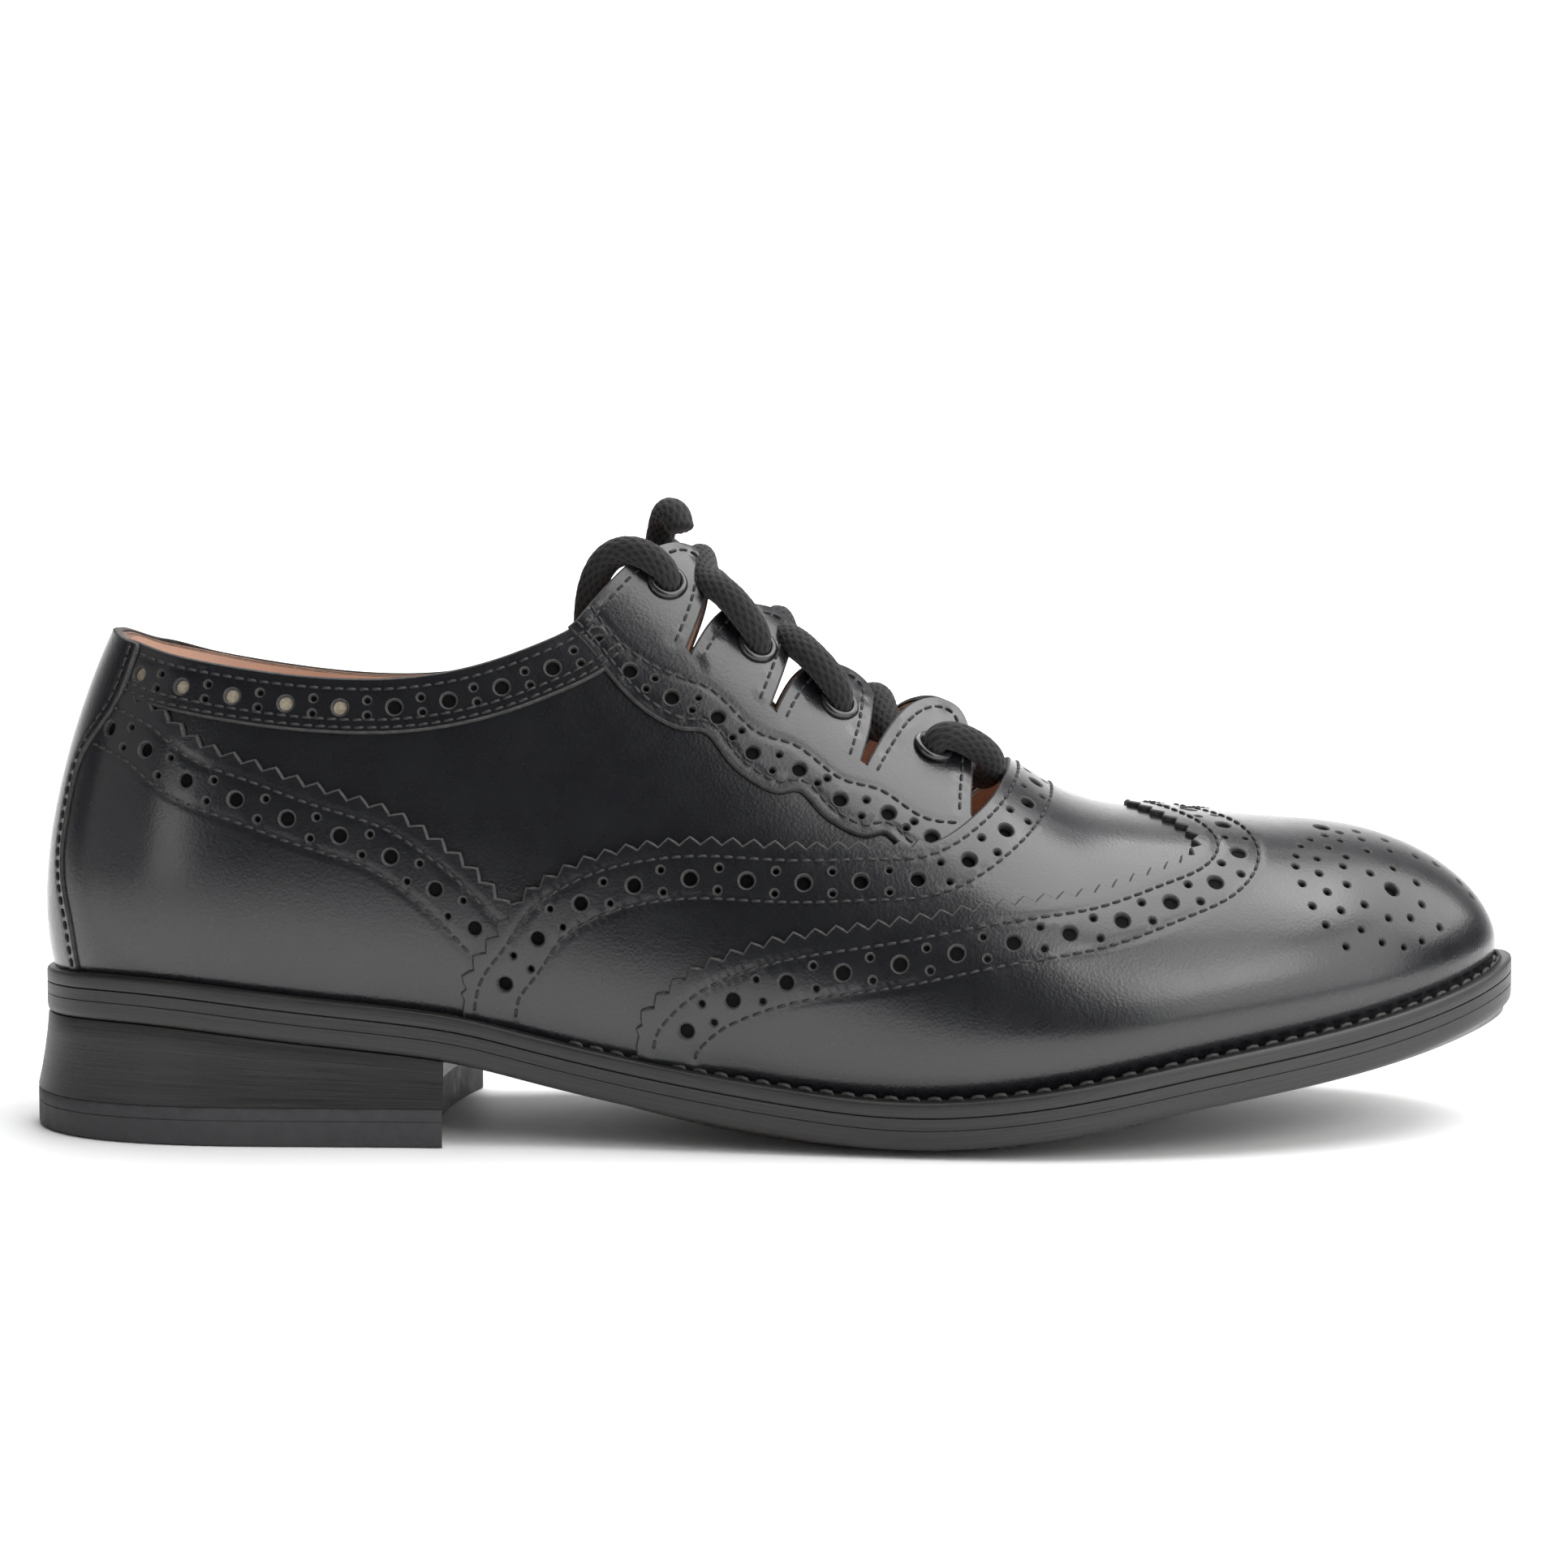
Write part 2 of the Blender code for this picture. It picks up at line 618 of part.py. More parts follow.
# Eyelets and lace.
EYELET_HOLE, EYELET_RIM, EYELET_HIGH, EYELET_ROUND, EYELET_SIDES = 2.7, 4.2, 1.0, 0.5, 8
LACE, LACE_LIFT, LACE_BOW = 5.0, 7.7, 11.0


def eyelet_place(number, side, lift):
    """A place over an eyelet and the way out there."""
    k, v = from_flat([EYELETS[number]])[0]
    way = normal(k, v, side)
    return skin(k, v, side) + lift * way, way


def turned(name, profile, sides):
    """A ring turned about its own upright axis from a closed profile of radius and height."""
    mesh = bpy.data.meshes.new(name)
    corners = [(radius * METRE, 0.0, height * METRE) for radius, height in profile]
    edges = [(i, (i + 1) % len(corners)) for i in range(len(corners))]
    mesh.from_pydata(corners, edges, [])
    made = finish(name, mesh)
    screw = made.modifiers.new("turn", "SCREW")
    screw.angle, screw.axis = 2 * math.pi, "Z"
    screw.steps = screw.render_steps = sides
    screw.use_merge_vertices, screw.merge_threshold = True, 0.00005
    return made


def build_eyelets():
    """Rings lying on the facing, four a side."""
    profile = (
        (EYELET_RIM - EYELET_ROUND, EYELET_HIGH), (EYELET_RIM, 0.0),
        (EYELET_HOLE, 0.0), (EYELET_HOLE, EYELET_HIGH),
    )
    for side, word in ((OUTER, "outer"), (INNER, "inner")):
        for number in range(len(EYELETS)):
            centre, way = eyelet_place(number, side, OVERLAY_OFF + OVERLAY + 2 * GAP)
            made = turned(f"eyelet_{word}_{number + 1}", profile, EYELET_SIDES)
            made.location = (centre - MIDDLE) * METRE
            made.rotation_euler = Vector(way).to_track_quat("Z", "Y").to_euler()


def cord(name, path):
    """A round cord along a path."""
    curve = bpy.data.curves.new(name, "CURVE")
    curve.dimensions = "3D"
    curve.bevel_depth = LACE / 2 * METRE
    curve.bevel_resolution = 2
    curve.use_fill_caps = True
    line = curve.splines.new("POLY")
    line.points.add(len(path) - 1)
    for point, place in zip(line.points, path):
        point.co = (*(np.asarray(place) - MIDDLE) * METRE, 1.0)
    return finish(name, curve)


def as_mesh(made):
    """The same piece as a mesh with its caps welded on, in place of its curve."""
    bpy.context.view_layer.update()
    graph = bpy.context.evaluated_depsgraph_get()
    mesh = bpy.data.meshes.new_from_object(made.evaluated_get(graph))
    body = bmesh.new()
    body.from_mesh(mesh)
    bmesh.ops.remove_doubles(body, verts=body.verts[:], dist=0.00001)
    body.to_mesh(mesh)
    body.free()
    name, place = made.name, made.matrix_world.copy()
    bpy.data.objects.remove(made)
    solid = bpy.data.objects.new(name, mesh)
    solid.matrix_world = place
    SHOE.objects.link(solid)
    return solid


def join(target, other):
    """Makes two overlapping bodies one."""
    union = target.modifiers.new("join", "BOOLEAN")
    union.operation, union.solver, union.object = "UNION", "EXACT", other
    graph = bpy.context.evaluated_depsgraph_get()
    mesh = bpy.data.meshes.new_from_object(target.evaluated_get(graph))
    target.modifiers.clear()
    target.data = mesh
    bpy.data.objects.remove(other)


def lace_path(stops, bow):
    """A path over stops, lifted in an arch between each two."""
    path = []
    for start, end in zip(stops, stops[1:]):
        for share in np.linspace(0, 1, 5)[:-1]:
            lift = bow * math.sin(math.pi * share)
            path.append(start + (end - start) * share + np.array((0.0, 0.0, lift)))
    return path + [stops[-1]]


def build_lace():
    """The bar and crossings in one piece, and the two free ends above the top eyelets."""
    outer = [eyelet_place(n, OUTER, LACE_LIFT)[0] for n in range(4)]
    inner = [eyelet_place(n, INNER, LACE_LIFT)[0] for n in range(4)]
    one = lace_path([inner[0], outer[1], inner[2], outer[3], inner[3]], LACE_BOW)
    two = lace_path([outer[0], inner[1], outer[2], inner[3]], LACE_BOW)
    join(as_mesh(cord("lace", one)), as_mesh(cord("lace_other", two)))
    back = outer[0] - np.array((3.4, 0.0, 0.0))
    steps = ((0.0, 0.0, 0.0), (-5.0, 0.5, 3.0), (-11.0, 2.0, 2.0), (-14.0, 6.0, -4.0))
    cord("lace_end_outer", [back + step for step in steps])
    up = inner[0] + np.array((-0.5, -1.0, 4.8))
    steps = ((0.0, 0.0, 0.0), (0.0, -1.0, 4.0), (0.5, -2.0, 9.0))
    cord("lace_end_inner", [up + step for step in steps])


# Colour, roughness and metallic value of each kind of piece, by the first word of its name.
LEATHER, EDGE = ((0.012, 0.012, 0.013), 0.25, 0.0), ((0.02, 0.019, 0.018), 0.4, 0.0)
LOOKS = {
    "upper": LEATHER, "counter": LEATHER, "collar": LEATHER, "facing": LEATHER,
    "vamp": LEATHER, "wing": LEATHER, "back": LEATHER,
    "insole": ((0.55, 0.36, 0.25), 0.6, 0.0),
    "outsole": EDGE, "welt": EDGE, "heel": EDGE,
    "top": ((0.03, 0.03, 0.03), 0.7, 0.0),
    "eyelet": ((0.02, 0.02, 0.02), 0.3, 0.6),
    "lace": ((0.02, 0.02, 0.02), 0.9, 0.0),
}

for old in list(bpy.data.objects):
    bpy.data.objects.remove(old)
SHOE = bpy.data.collections.new("ghillie_brogue")
bpy.context.scene.collection.children.link(SHOE)
build_outsole()
build_welt()
build_insole()
build_heel()
build_upper()
build_overlays()
build_eyelets()
build_lace()
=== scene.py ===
"""Looks of a ghillie brogue, right shoe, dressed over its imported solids.

Sizes are in millimetres: x runs from the back of the heel to the toe, +y is the inner side of the
foot, z is the height above the floor. Meshes are written in metres about the middle of the sole.
"""

import math

import bpy
import numpy as np
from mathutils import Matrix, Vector, kdtree
from mathutils.geometry import delaunay_2d_cdt


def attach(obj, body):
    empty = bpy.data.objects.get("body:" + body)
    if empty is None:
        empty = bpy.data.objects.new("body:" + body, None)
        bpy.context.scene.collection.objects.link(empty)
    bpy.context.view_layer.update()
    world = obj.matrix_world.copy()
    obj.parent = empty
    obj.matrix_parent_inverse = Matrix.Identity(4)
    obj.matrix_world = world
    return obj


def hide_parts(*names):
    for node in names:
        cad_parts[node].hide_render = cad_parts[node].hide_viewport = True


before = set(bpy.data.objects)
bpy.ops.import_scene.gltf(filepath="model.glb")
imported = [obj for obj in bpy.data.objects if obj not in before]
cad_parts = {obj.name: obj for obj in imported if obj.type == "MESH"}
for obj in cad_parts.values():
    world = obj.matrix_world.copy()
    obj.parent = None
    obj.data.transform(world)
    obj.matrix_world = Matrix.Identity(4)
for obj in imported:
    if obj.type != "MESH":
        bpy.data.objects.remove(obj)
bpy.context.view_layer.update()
METRE = 0.001
# The middle of the sole, which is the shoe's origin.
MIDDLE = np.array((153.18, 0.0, 0.0))
GAP = 0.3

# The last: where each section stands on the sole, and how it rises to the ridge line over the foot.
# squareness is the power of its rounded side, fullness how far the wall swells past its foot.
SECTION_COLUMNS = ("x", "outer", "inner", "ridge_x", "squareness", "fullness")
SECTIONS = (
    (5.5, 0.0, 0.0, 50.0, 1.80, 2.6),
    (14.0, -18.5, 18.5, 51.0, 1.90, 2.8),
    (32.0, -27.5, 27.0, 56.0, 2.20, 3.2),
    (58.0, -30.0, 29.0, 68.0, 2.40, 3.4),
    (88.0, -31.0, 28.5, 91.0, 2.30, 3.2),
    (120.0, -34.0, 28.5, 120.0, 2.05, 3.0),
    (150.0, -38.5, 31.0, 150.0, 1.95, 3.2),
    (180.0, -43.0, 37.5, 180.0, 1.95, 3.8),
    (206.0, -45.0, 43.5, 205.0, 2.00, 4.2),
    (228.0, -43.0, 45.0, 225.0, 2.10, 4.0),
    (252.0, -37.0, 42.0, 242.0, 2.20, 3.2),
    (276.0, -26.0, 33.5, 254.0, 2.35, 2.2),
    (292.0, -13.5, 22.5, 260.0, 2.45, 1.6),
    (300.5, 4.0, 4.0, 262.0, 2.50, 1.4),
)
SWELL_HEIGHT = 0.28

# Height of the ridge line over the foot; behind x 125 it is the top of the last, above the collar.
RIDGE_HEIGHT = (
    (50.0, 133.0), (85.0, 131.0), (110.0, 127.5), (125.0, 122.5), (138.0, 115.5), (150.0, 106.5),
    (168.0, 92.8), (183.0, 83.0), (196.0, 75.5), (206.0, 69.8), (214.0, 65.8), (224.0, 63.3),
    (241.0, 61.8), (255.0, 61.0), (268.0, 60.0), (285.0, 58.0), (301.0, 55.5),
)
RIDGE_SIDEWAYS = ((50.0, 0.0), (130.0, 1.0), (200.0, 2.5), (262.0, 4.0))

# Height of the welt's top face: heel seat, arch, ball and toe spring.
WELT_TOP = (
    (0.0, 32.2), (20.0, 32.7), (35.0, 31.9), (50.0, 30.2), (65.0, 28.5), (80.0, 26.9), (92.0, 25.1),
    (104.0, 22.3), (120.0, 18.7), (140.0, 15.0), (155.0, 12.8), (170.0, 11.2), (182.0, 10.9),
    (196.0, 11.9), (212.0, 14.2), (230.0, 17.7), (250.0, 21.2), (268.0, 24.3), (285.0, 28.0),
    (300.0, 32.2), (307.0, 34.5),
)


def unit(ways):
    """Ways of length one."""
    return ways / np.linalg.norm(ways, axis=-1, keepdims=True)


def run_along(points):
    """Distance along a line at each of its points."""
    return np.concatenate(([0.0], np.cumsum(np.linalg.norm(np.diff(points, axis=0), axis=1))))


def spline(rows):
    """A natural cubic spline through rows of (place, value), as a function."""
    at, value = np.asarray(rows, float).T
    step = np.diff(at)
    system, right = np.eye(len(at)), np.zeros(len(at))
    for i in range(1, len(at) - 1):
        system[i, i - 1 : i + 2] = step[i - 1], 2 * (step[i - 1] + step[i]), step[i]
        right[i] = 6 * ((value[i + 1] - value[i]) / step[i] - (value[i] - value[i - 1]) / step[i - 1])
    bend = np.linalg.solve(system, right)

    def curve(place):
        place = np.asarray(place, float)
        i = np.clip(np.searchsorted(at, place) - 1, 0, len(step) - 1)
        before, after, h = place - at[i], at[i + 1] - place, step[i]
        cubic = (bend[i] * after**3 + bend[i + 1] * before**3) / (6 * h)
        left, top = value[i] / h - bend[i] * h / 6, value[i + 1] / h - bend[i + 1] * h / 6
        return cubic + left * after + top * before

    return curve


ridge_height, ridge_sideways, welt_top = spline(RIDGE_HEIGHT), spline(RIDGE_SIDEWAYS), spline(WELT_TOP)
SECTION = {name: np.array(column) for name, column in zip(SECTION_COLUMNS, zip(*SECTIONS))}


def feather_knots():
    """Place of each section along one side of the feather line, 0 at the heel and 1 at the toe."""
    half_width = (SECTION["inner"] - SECTION["outer"]) / 2
    run = np.hypot(np.diff(SECTION["x"]), np.diff(half_width))
    return np.concatenate(([0.0], np.cumsum(run))) / run.sum()


KNOT = feather_knots()


def round_the_foot(outer, inner):
    """A closed spline: places 0 to 1 run heel to toe on the outer side, 1 to 2 back on the inner."""
    place = np.concatenate((KNOT, 2 - KNOT[-2:0:-1]))
    value = np.concatenate((outer, inner[-2:0:-1]))
    return spline([(p + turn, v) for turn in (-2, 0, 2) for p, v in zip(place, value)])


def both_sides(name):
    return round_the_foot(SECTION[name], SECTION[name])


feather_x, feather_y = both_sides("x"), round_the_foot(SECTION["outer"], SECTION["inner"])
ridge_x, squareness, fullness = both_sides("ridge_x"), both_sides("squareness"), both_sides("fullness")
OUTER, INNER = -1, 1


def feather(place):
    """Points of the feather line and the way out from them in plan."""
    nudge = 1e-4
    x, y = feather_x(place), feather_y(place)
    along_x = feather_x(place + nudge) - feather_x(place - nudge)
    along_y = feather_y(place + nudge) - feather_y(place - nudge)
    length = np.hypot(along_x, along_y)
    return x, y, along_y / length, -along_x / length


def skin(k, v, side):
    """Outer face of the last: k runs heel to toe, v from the feather line up to the ridge."""
    k, v, side = np.broadcast_arrays(np.asarray(k, float), np.asarray(v, float), side)
    foot_x, foot_y, out_x, out_y = feather(np.where(side == OUTER, k, 2 - k))
    top_x = ridge_x(k)
    power = 2 / squareness(k)
    inward = 1 - np.abs(np.cos(v * math.pi / 2)) ** power
    up = np.abs(np.sin(v * math.pi / 2)) ** power
    swell_at = up / SWELL_HEIGHT
    swell = fullness(k) * swell_at * np.exp(1 - swell_at) * (1 - up**2)
    x = foot_x + (top_x - foot_x) * inward + out_x * swell
    y = foot_y + (ridge_sideways(top_x) - foot_y) * inward + out_y * swell
    base = welt_top(foot_x) + GAP
    return np.stack((x, y, base + (ridge_height(x) - base) * up), -1)


def normal(k, v, side):
    """Way out of the last; along the ridge it leans only with the ridge."""
    nudge = 1e-3
    k, v, side = np.broadcast_arrays(np.asarray(k, float), np.asarray(v, float), side)
    ahead = skin(k + nudge, v, side) - skin(k - nudge, v, side)
    upward = skin(k, np.minimum(v + nudge, 1), side) - skin(k, np.maximum(v - nudge, 0), side)
    way = -side[..., None] * np.cross(ahead, upward)
    x = ridge_x(k)
    slope = (ridge_height(x + 0.1) - ridge_height(x - 0.1)) / 0.2
    over = np.stack((-slope, np.zeros_like(slope), np.ones_like(slope)), -1)
    way = np.where(v[..., None] > 0.9995, over, way)
    return unit(way)


def ray(k):
    """A section's start on the ridge and its way out, as laid flat."""
    foot_x, foot_y, _, _ = feather(k)
    top_x = ridge_x(k)
    out_x, out_y = foot_x - top_x, foot_y - ridge_sideways(top_x)
    length = np.hypot(out_x, out_y)
    return top_x, out_x / length, -out_y / length


def halve(low, high, too_low):
    """The place between low and high where too_low turns false."""
    for _ in range(34):
        middle = (low + high) / 2
        below = too_low(middle)
        low, high = np.where(below, middle, low), np.where(below, high, middle)
    return (low + high) / 2


# The flat pattern: mm along the ridge line and mm across from it, outer side positive, inner negative.
PATTERN_K, PATTERN_SHARE = np.linspace(0, 1, 1001), np.linspace(0, 1, 241)


def section_lengths():
    """Length of each section from ridge to foot, and v at even shares of that length."""
    v = np.linspace(1, 0, 361)
    line = skin(PATTERN_K[:, None], v[None], OUTER)
    run = np.linalg.norm(np.diff(line, axis=1), axis=2).cumsum(1)
    run = np.concatenate((np.zeros((len(PATTERN_K), 1)), run), 1)
    v_at = np.stack([np.interp(PATTERN_SHARE * row[-1], row, v) for row in run])
    return run[:, -1], v_at


SECTION_LENGTH, SECTION_V = section_lengths()
PATTERN_RAY = np.stack(ray(PATTERN_K))


def ray_at(k):
    return [np.interp(k, PATTERN_K, row) for row in PATTERN_RAY]


def from_flat(points):
    """k, v and side of places on the flat pattern."""
    along, across = np.asarray(points, float).T
    side = np.where(across >= 0, OUTER, INNER)
    across = np.abs(across)

    def behind(k):
        start, out_x, out_y = ray_at(k)
        return out_y * (along - start) - out_x * across > 1e-9

    k = halve(np.zeros_like(along), np.ones_like(along), behind)
    share = np.hypot(along - ray_at(k)[0], across) / np.interp(k, PATTERN_K, SECTION_LENGTH)
    row = np.clip(k * (len(PATTERN_K) - 1), 0, len(PATTERN_K) - 1.001)
    column = np.clip(share, 0, 1) * (len(PATTERN_SHARE) - 1.001)
    r, c = row.astype(int), column.astype(int)
    low = SECTION_V[r, c] * (1 - column + c) + SECTION_V[r, c + 1] * (column - c)
    high = SECTION_V[r + 1, c] * (1 - column + c) + SECTION_V[r + 1, c + 1] * (column - c)
    return k, low * (1 - row + r) + high * (row - r), side


def lay_flat(k, v):
    """Places on the outer half of the flat pattern."""
    k, v = np.asarray(k, float), np.asarray(v, float)
    share = np.linspace(0, 1, 81)
    line = skin(k[..., None], v[..., None] + (1 - v[..., None]) * share, OUTER)
    length = np.linalg.norm(np.diff(line, axis=-2), axis=-1).sum(-1)
    start, out_x, out_y = ray(k)
    return np.stack((start + out_x * length, out_y * length), -1)


def from_side(points):
    """Places on the flat pattern of points on the outer side seen square on, as x and height."""
    x, height = np.asarray(points, float).T

    def station(v):
        return halve(np.zeros_like(x), np.ones_like(x), lambda k: skin(k, v, OUTER)[..., 0] < x)

    v = halve(np.zeros_like(x), np.ones_like(x), lambda v: skin(station(v), v, OUTER)[..., 2] < height)
    return lay_flat(station(v), v)


def on_last(points, lift=0.0):
    """Places in space, and the way out there, of points on the flat pattern."""
    k, v, side = from_flat(points)
    way = normal(k, v, side)
    return skin(k, v, side) + way * np.reshape(lift, (-1, 1)), way


def slopes(points):
    """How the last's face runs per mm along and per mm across the flat pattern."""
    step = 0.05
    moves = np.array(((step, 0), (-step, 0), (0, step), (0, -step)))
    ahead, back, out, home = [on_last(points + move)[0] for move in moves]
    return np.stack((ahead - back, out - home), -1) / (2 * step)


def nudged(points, move):
    """Points moved on the pattern by moves given in space along the face."""
    return points + np.einsum("nij,nj->ni", np.linalg.pinv(slopes(points)), move)


def mirrored(points):
    return np.asarray(points) * (1, -1)


def curve_through(points):
    """A smooth curve through points, as a function of the distance along them, and that length."""
    points = np.asarray(points, float)
    run = run_along(points)
    curves = [spline(np.stack((run, column), -1)) for column in points.T]

    def curve(at):
        return np.stack([c(at) for c in curves], -1)

    return curve, run[-1]


def smooth_line(points, step=0.4):
    """A smooth line through given points, dense and evenly spaced."""
    curve, length = curve_through(points)
    return curve(np.linspace(0, length, max(int(length / step), 2) + 1))


def true_run(points):
    """Length in space along a line on the pattern."""
    return run_along(on_last(points)[0])


def at_run(points, run, at):
    return np.stack([np.interp(at, run, column) for column in points.T], -1)


OFFSET_STEPS = 3


def left_of(points):
    """The way to the left of a line on the pattern, in space along the face."""
    place, way = on_last(points)
    return unit(np.cross(np.gradient(place, axis=0), way))


def offset(points, distance):
    """A line on the pattern moved to its left by a distance in space, and smoothed."""
    for _ in range(OFFSET_STEPS):
        points = nudged(points, left_of(points) * (distance / OFFSET_STEPS))
        run = true_run(points)
        keep = np.concatenate(([True], np.diff(run) > 1e-4))
        points = at_run(points[keep], run[keep], np.linspace(0, run[-1], len(points)))
    return points


# A saw tooth: shares of its depth at even steps along the edge.
TOOTH = np.array((0.0, 0.5, 1.0, 0.5))


def pinked(points, pitch, depth, from_run=0.0, to_run=math.inf):
    """The edge line cut to saw teeth standing out to its right, between two distances along it."""
    run = true_run(points)
    count = max(int(round(run[-1] / pitch)), 1) * len(TOOTH)
    at = np.linspace(0, run[-1], count + 1)
    line = at_run(points, run, at)
    wave = TOOTH[np.arange(count + 1) % len(TOOTH)]
    wave = np.where((at >= from_run) & (at <= to_run), wave, 0.0)
    return nudged(line, -left_of(line) * (depth * wave)[:, None])


def ring_at(centre, radius, sides):
    """A round hole in space as a loop on the pattern."""
    centre = np.asarray(centre, float)
    run = slopes(centre[None])[0]
    turn = np.linspace(0, 2 * math.pi, sides, endpoint=False)
    one = run[:, 0] / np.linalg.norm(run[:, 0])
    two = run[:, 1] - one * np.dot(run[:, 1], one)
    two /= np.linalg.norm(two)
    move = radius * (np.cos(turn)[:, None] * one + np.sin(turn)[:, None] * two)
    return centre + move @ np.linalg.pinv(run).T


# Seams on the flat pattern of the outer side.
VAMP_EDGE = (
    (85.6, 115.5), (87.4, 110.4), (91.5, 105.2), (95.5, 101.2), (100.8, 94.6), (108.4, 88.3),
    (118.2, 82.0), (131.2, 74.8), (141.4, 69.0), (160.2, 57.9), (172.9, 50.6), (180.5, 46.6),
    (186.0, 42.0), (190.8, 35.8), (194.7, 29.0), (197.4, 22.0), (199.9, 9.6), (200.5, 0.0),
)
CAP_EDGE = (
    (127.1, 114.4), (128.1, 110.5), (130.6, 106.0), (137.0, 97.4), (144.8, 88.9), (152.5, 81.4),
    (161.1, 74.5), (177.6, 63.9), (191.8, 55.7), (207.6, 47.0), (219.0, 40.4), (230.0, 33.9),
    (235.8, 29.6), (238.2, 24.4), (237.3, 19.8), (234.5, 14.4), (230.4, 7.6), (226.5, 0.0),
)
FACING_EDGE = (
    (112.0, 36.6), (115.8, 39.3), (120.0, 43.2), (125.8, 47.4), (130.6, 48.9), (135.4, 48.4),
    (139.8, 46.6), (144.0, 49.4), (149.1, 50.4), (154.0, 49.2), (158.4, 46.2), (162.0, 48.0),
    (166.4, 48.7), (171.0, 47.8), (175.0, 45.2), (178.0, 46.8), (183.0, 46.4), (188.0, 43.5),
)
FACING_ROW = (
    (116.0, 31.0), (120.0, 35.2), (126.0, 38.4), (133.0, 38.9), (141.0, 37.8), (149.0, 40.4),
    (157.0, 37.9), (165.5, 39.2), (174.0, 37.0), (181.0, 38.6), (189.0, 36.4),
)
# The open edge in front of the collar: round four leaning tabs and then the throat.
TAB_LINES = (
    ((113.4, 35.0), (117.4, 28.5), (121.1, 22.3), (125.7, 15.2), (130.0, 9.6), (133.2, 6.6), (136.2, 6.0),
     (138.2, 7.6), (138.4, 11.5), (137.7, 19.1), (136.2, 26.5), (134.7, 32.0)),
    ((136.1, 33.0), (138.4, 26.5), (141.4, 19.4), (145.5, 13.0), (149.5, 8.9), (152.6, 7.0), (154.9, 7.5),
     (155.5, 10.6), (154.7, 18.0), (153.0, 26.5), (151.4, 33.0)),
    ((152.9, 33.7), (155.0, 27.0), (157.7, 20.2), (161.6, 13.8), (165.4, 10.0), (168.6, 9.0), (171.0, 10.6),
     (171.7, 15.0), (171.3, 21.7), (170.3, 28.0), (169.3, 32.8)),
    ((170.9, 33.2), (173.4, 26.0), (176.4, 17.5), (180.0, 10.6), (183.6, 7.6), (187.0, 7.4), (189.2, 9.6),
     (190.6, 13.5), (191.6, 20.5), (191.4, 27.5), (191.2, 33.0)),
)
THROAT = ((192.6, 32.9), (194.7, 29.0), (197.4, 22.0), (199.9, 9.6), (200.5, 0.0))
EYELETS = ((130.8, 19.1), (148.8, 21.0), (165.2, 21.5), (183.8, 20.0))

# Seams seen square from the side: x and height.
TOPLINE = (
    (17.0, 100.6), (22.0, 98.9), (31.6, 96.4), (40.0, 94.6), (47.8, 93.3), (64.0, 91.5),
    (78.4, 91.4), (86.3, 92.3), (95.9, 94.5), (105.4, 97.9), (113.3, 101.7),
)
COUNTER_EDGE = (
    (20.0, 88.5), (26.0, 86.4), (31.4, 83.8), (37.6, 79.0), (45.9, 75.4), (53.2, 72.9), (59.6, 70.5),
    (67.6, 67.9), (78.5, 64.0), (85.5, 59.6), (92.1, 54.4), (98.3, 48.3), (101.0, 45.4),
)
STRIP_EDGE = (
    (13.4, 33.6), (12.3, 41.9), (10.9, 48.3), (10.1, 56.3), (11.2, 64.5), (13.0, 72.7), (17.3, 80.2),
    (22.4, 87.4), (26.0, 97.8),
)

# Holes of the toe medallion on the flat pattern, small and big.
MEDALLION = (
    (259.0, 20.0), (257.5, 24.0), (257.0, 27.5), (258.0, 32.0), (260.0, 37.0), (263.0, 40.5), (268.0, 43.5),
    (261.5, 16.5), (265.0, 18.5), (262.0, 23.5), (262.0, 28.0), (263.5, 32.5), (266.5, 36.0), (271.5, 38.5),
    (268.5, 20.5), (267.5, 24.0), (268.0, 29.0), (272.0, 32.5), (273.5, 23.5), (279.0, 19.0), (284.5, 20.0),
    (286.0, 25.0), (283.5, 30.0), (278.0, 33.0), (277.0, 39.0), (283.0, 37.0), (287.5, 33.0), (291.5, 27.0),
    (265.0, 13.5), (268.0, 14.5), (268.5, 10.5), (272.5, 7.5), (273.0, 11.5), (273.5, 16.0), (279.0, 12.5),
    (278.5, 8.0), (285.0, 10.0), (290.0, 8.0), (296.0, 8.0), (299.5, 9.0),
)
MEDALLION_BIG = ((278.5, 25.5), (265.0, 9.0))

# Heights of the faces of the leather above the last.
QUARTERS_LAYER, LINING_LAYER = (-1.1, 0.0), (-1.9, -1.15)
COLLAR_TOP, COUNTER_TOP, FACING_TOP, VAMP_TOP, CAP_TOP, STRIP_TOP = 1.05, 1.3, 1.3, 1.6, 1.5, 1.9
PANEL_FOOT, OVERLAY_FOOT, QUARTERS_FOOT = 0.0, 0.05, 0.15
ROUND_EDGE, QUARTERS_ROUND, LINING_ROUND = 0.48, 0.2, 0.1
# How far a winged panel stands up along its edge, and how far in from it that runs out.
CAP_RAISE, VAMP_RAISE = (1.3, 24.0), (0.45, 12.0)
# How far the vamp runs on under the cap, and how far the strip's stitches lie from its edge.
UNDER_CAP, STRIP_STITCH = 13.5, -1.5
# Rows of each punched band, mm from its edge: first stitches, big holes, second stitches.
VAMP_BAND, CAP_BAND, COUNTER_BAND = (2.0, 6.3, 10.1), (3.1, 7.2, 11.3), (2.5, 6.7, 10.8)
# Holes: their radii and pitch, how far a small pair stands off its row, and a short step along the row.
BIG_HOLE, SMALL_HOLE, HOLE_PITCH, SMALL_APART, AHEAD = 1.85, 1.05, 10.8, 2.15, 0.3
BIG_SIDES, SMALL_SIDES, EYE_HOLE, MIDDLE_BAND = 20, 12, 2.9, 1.5
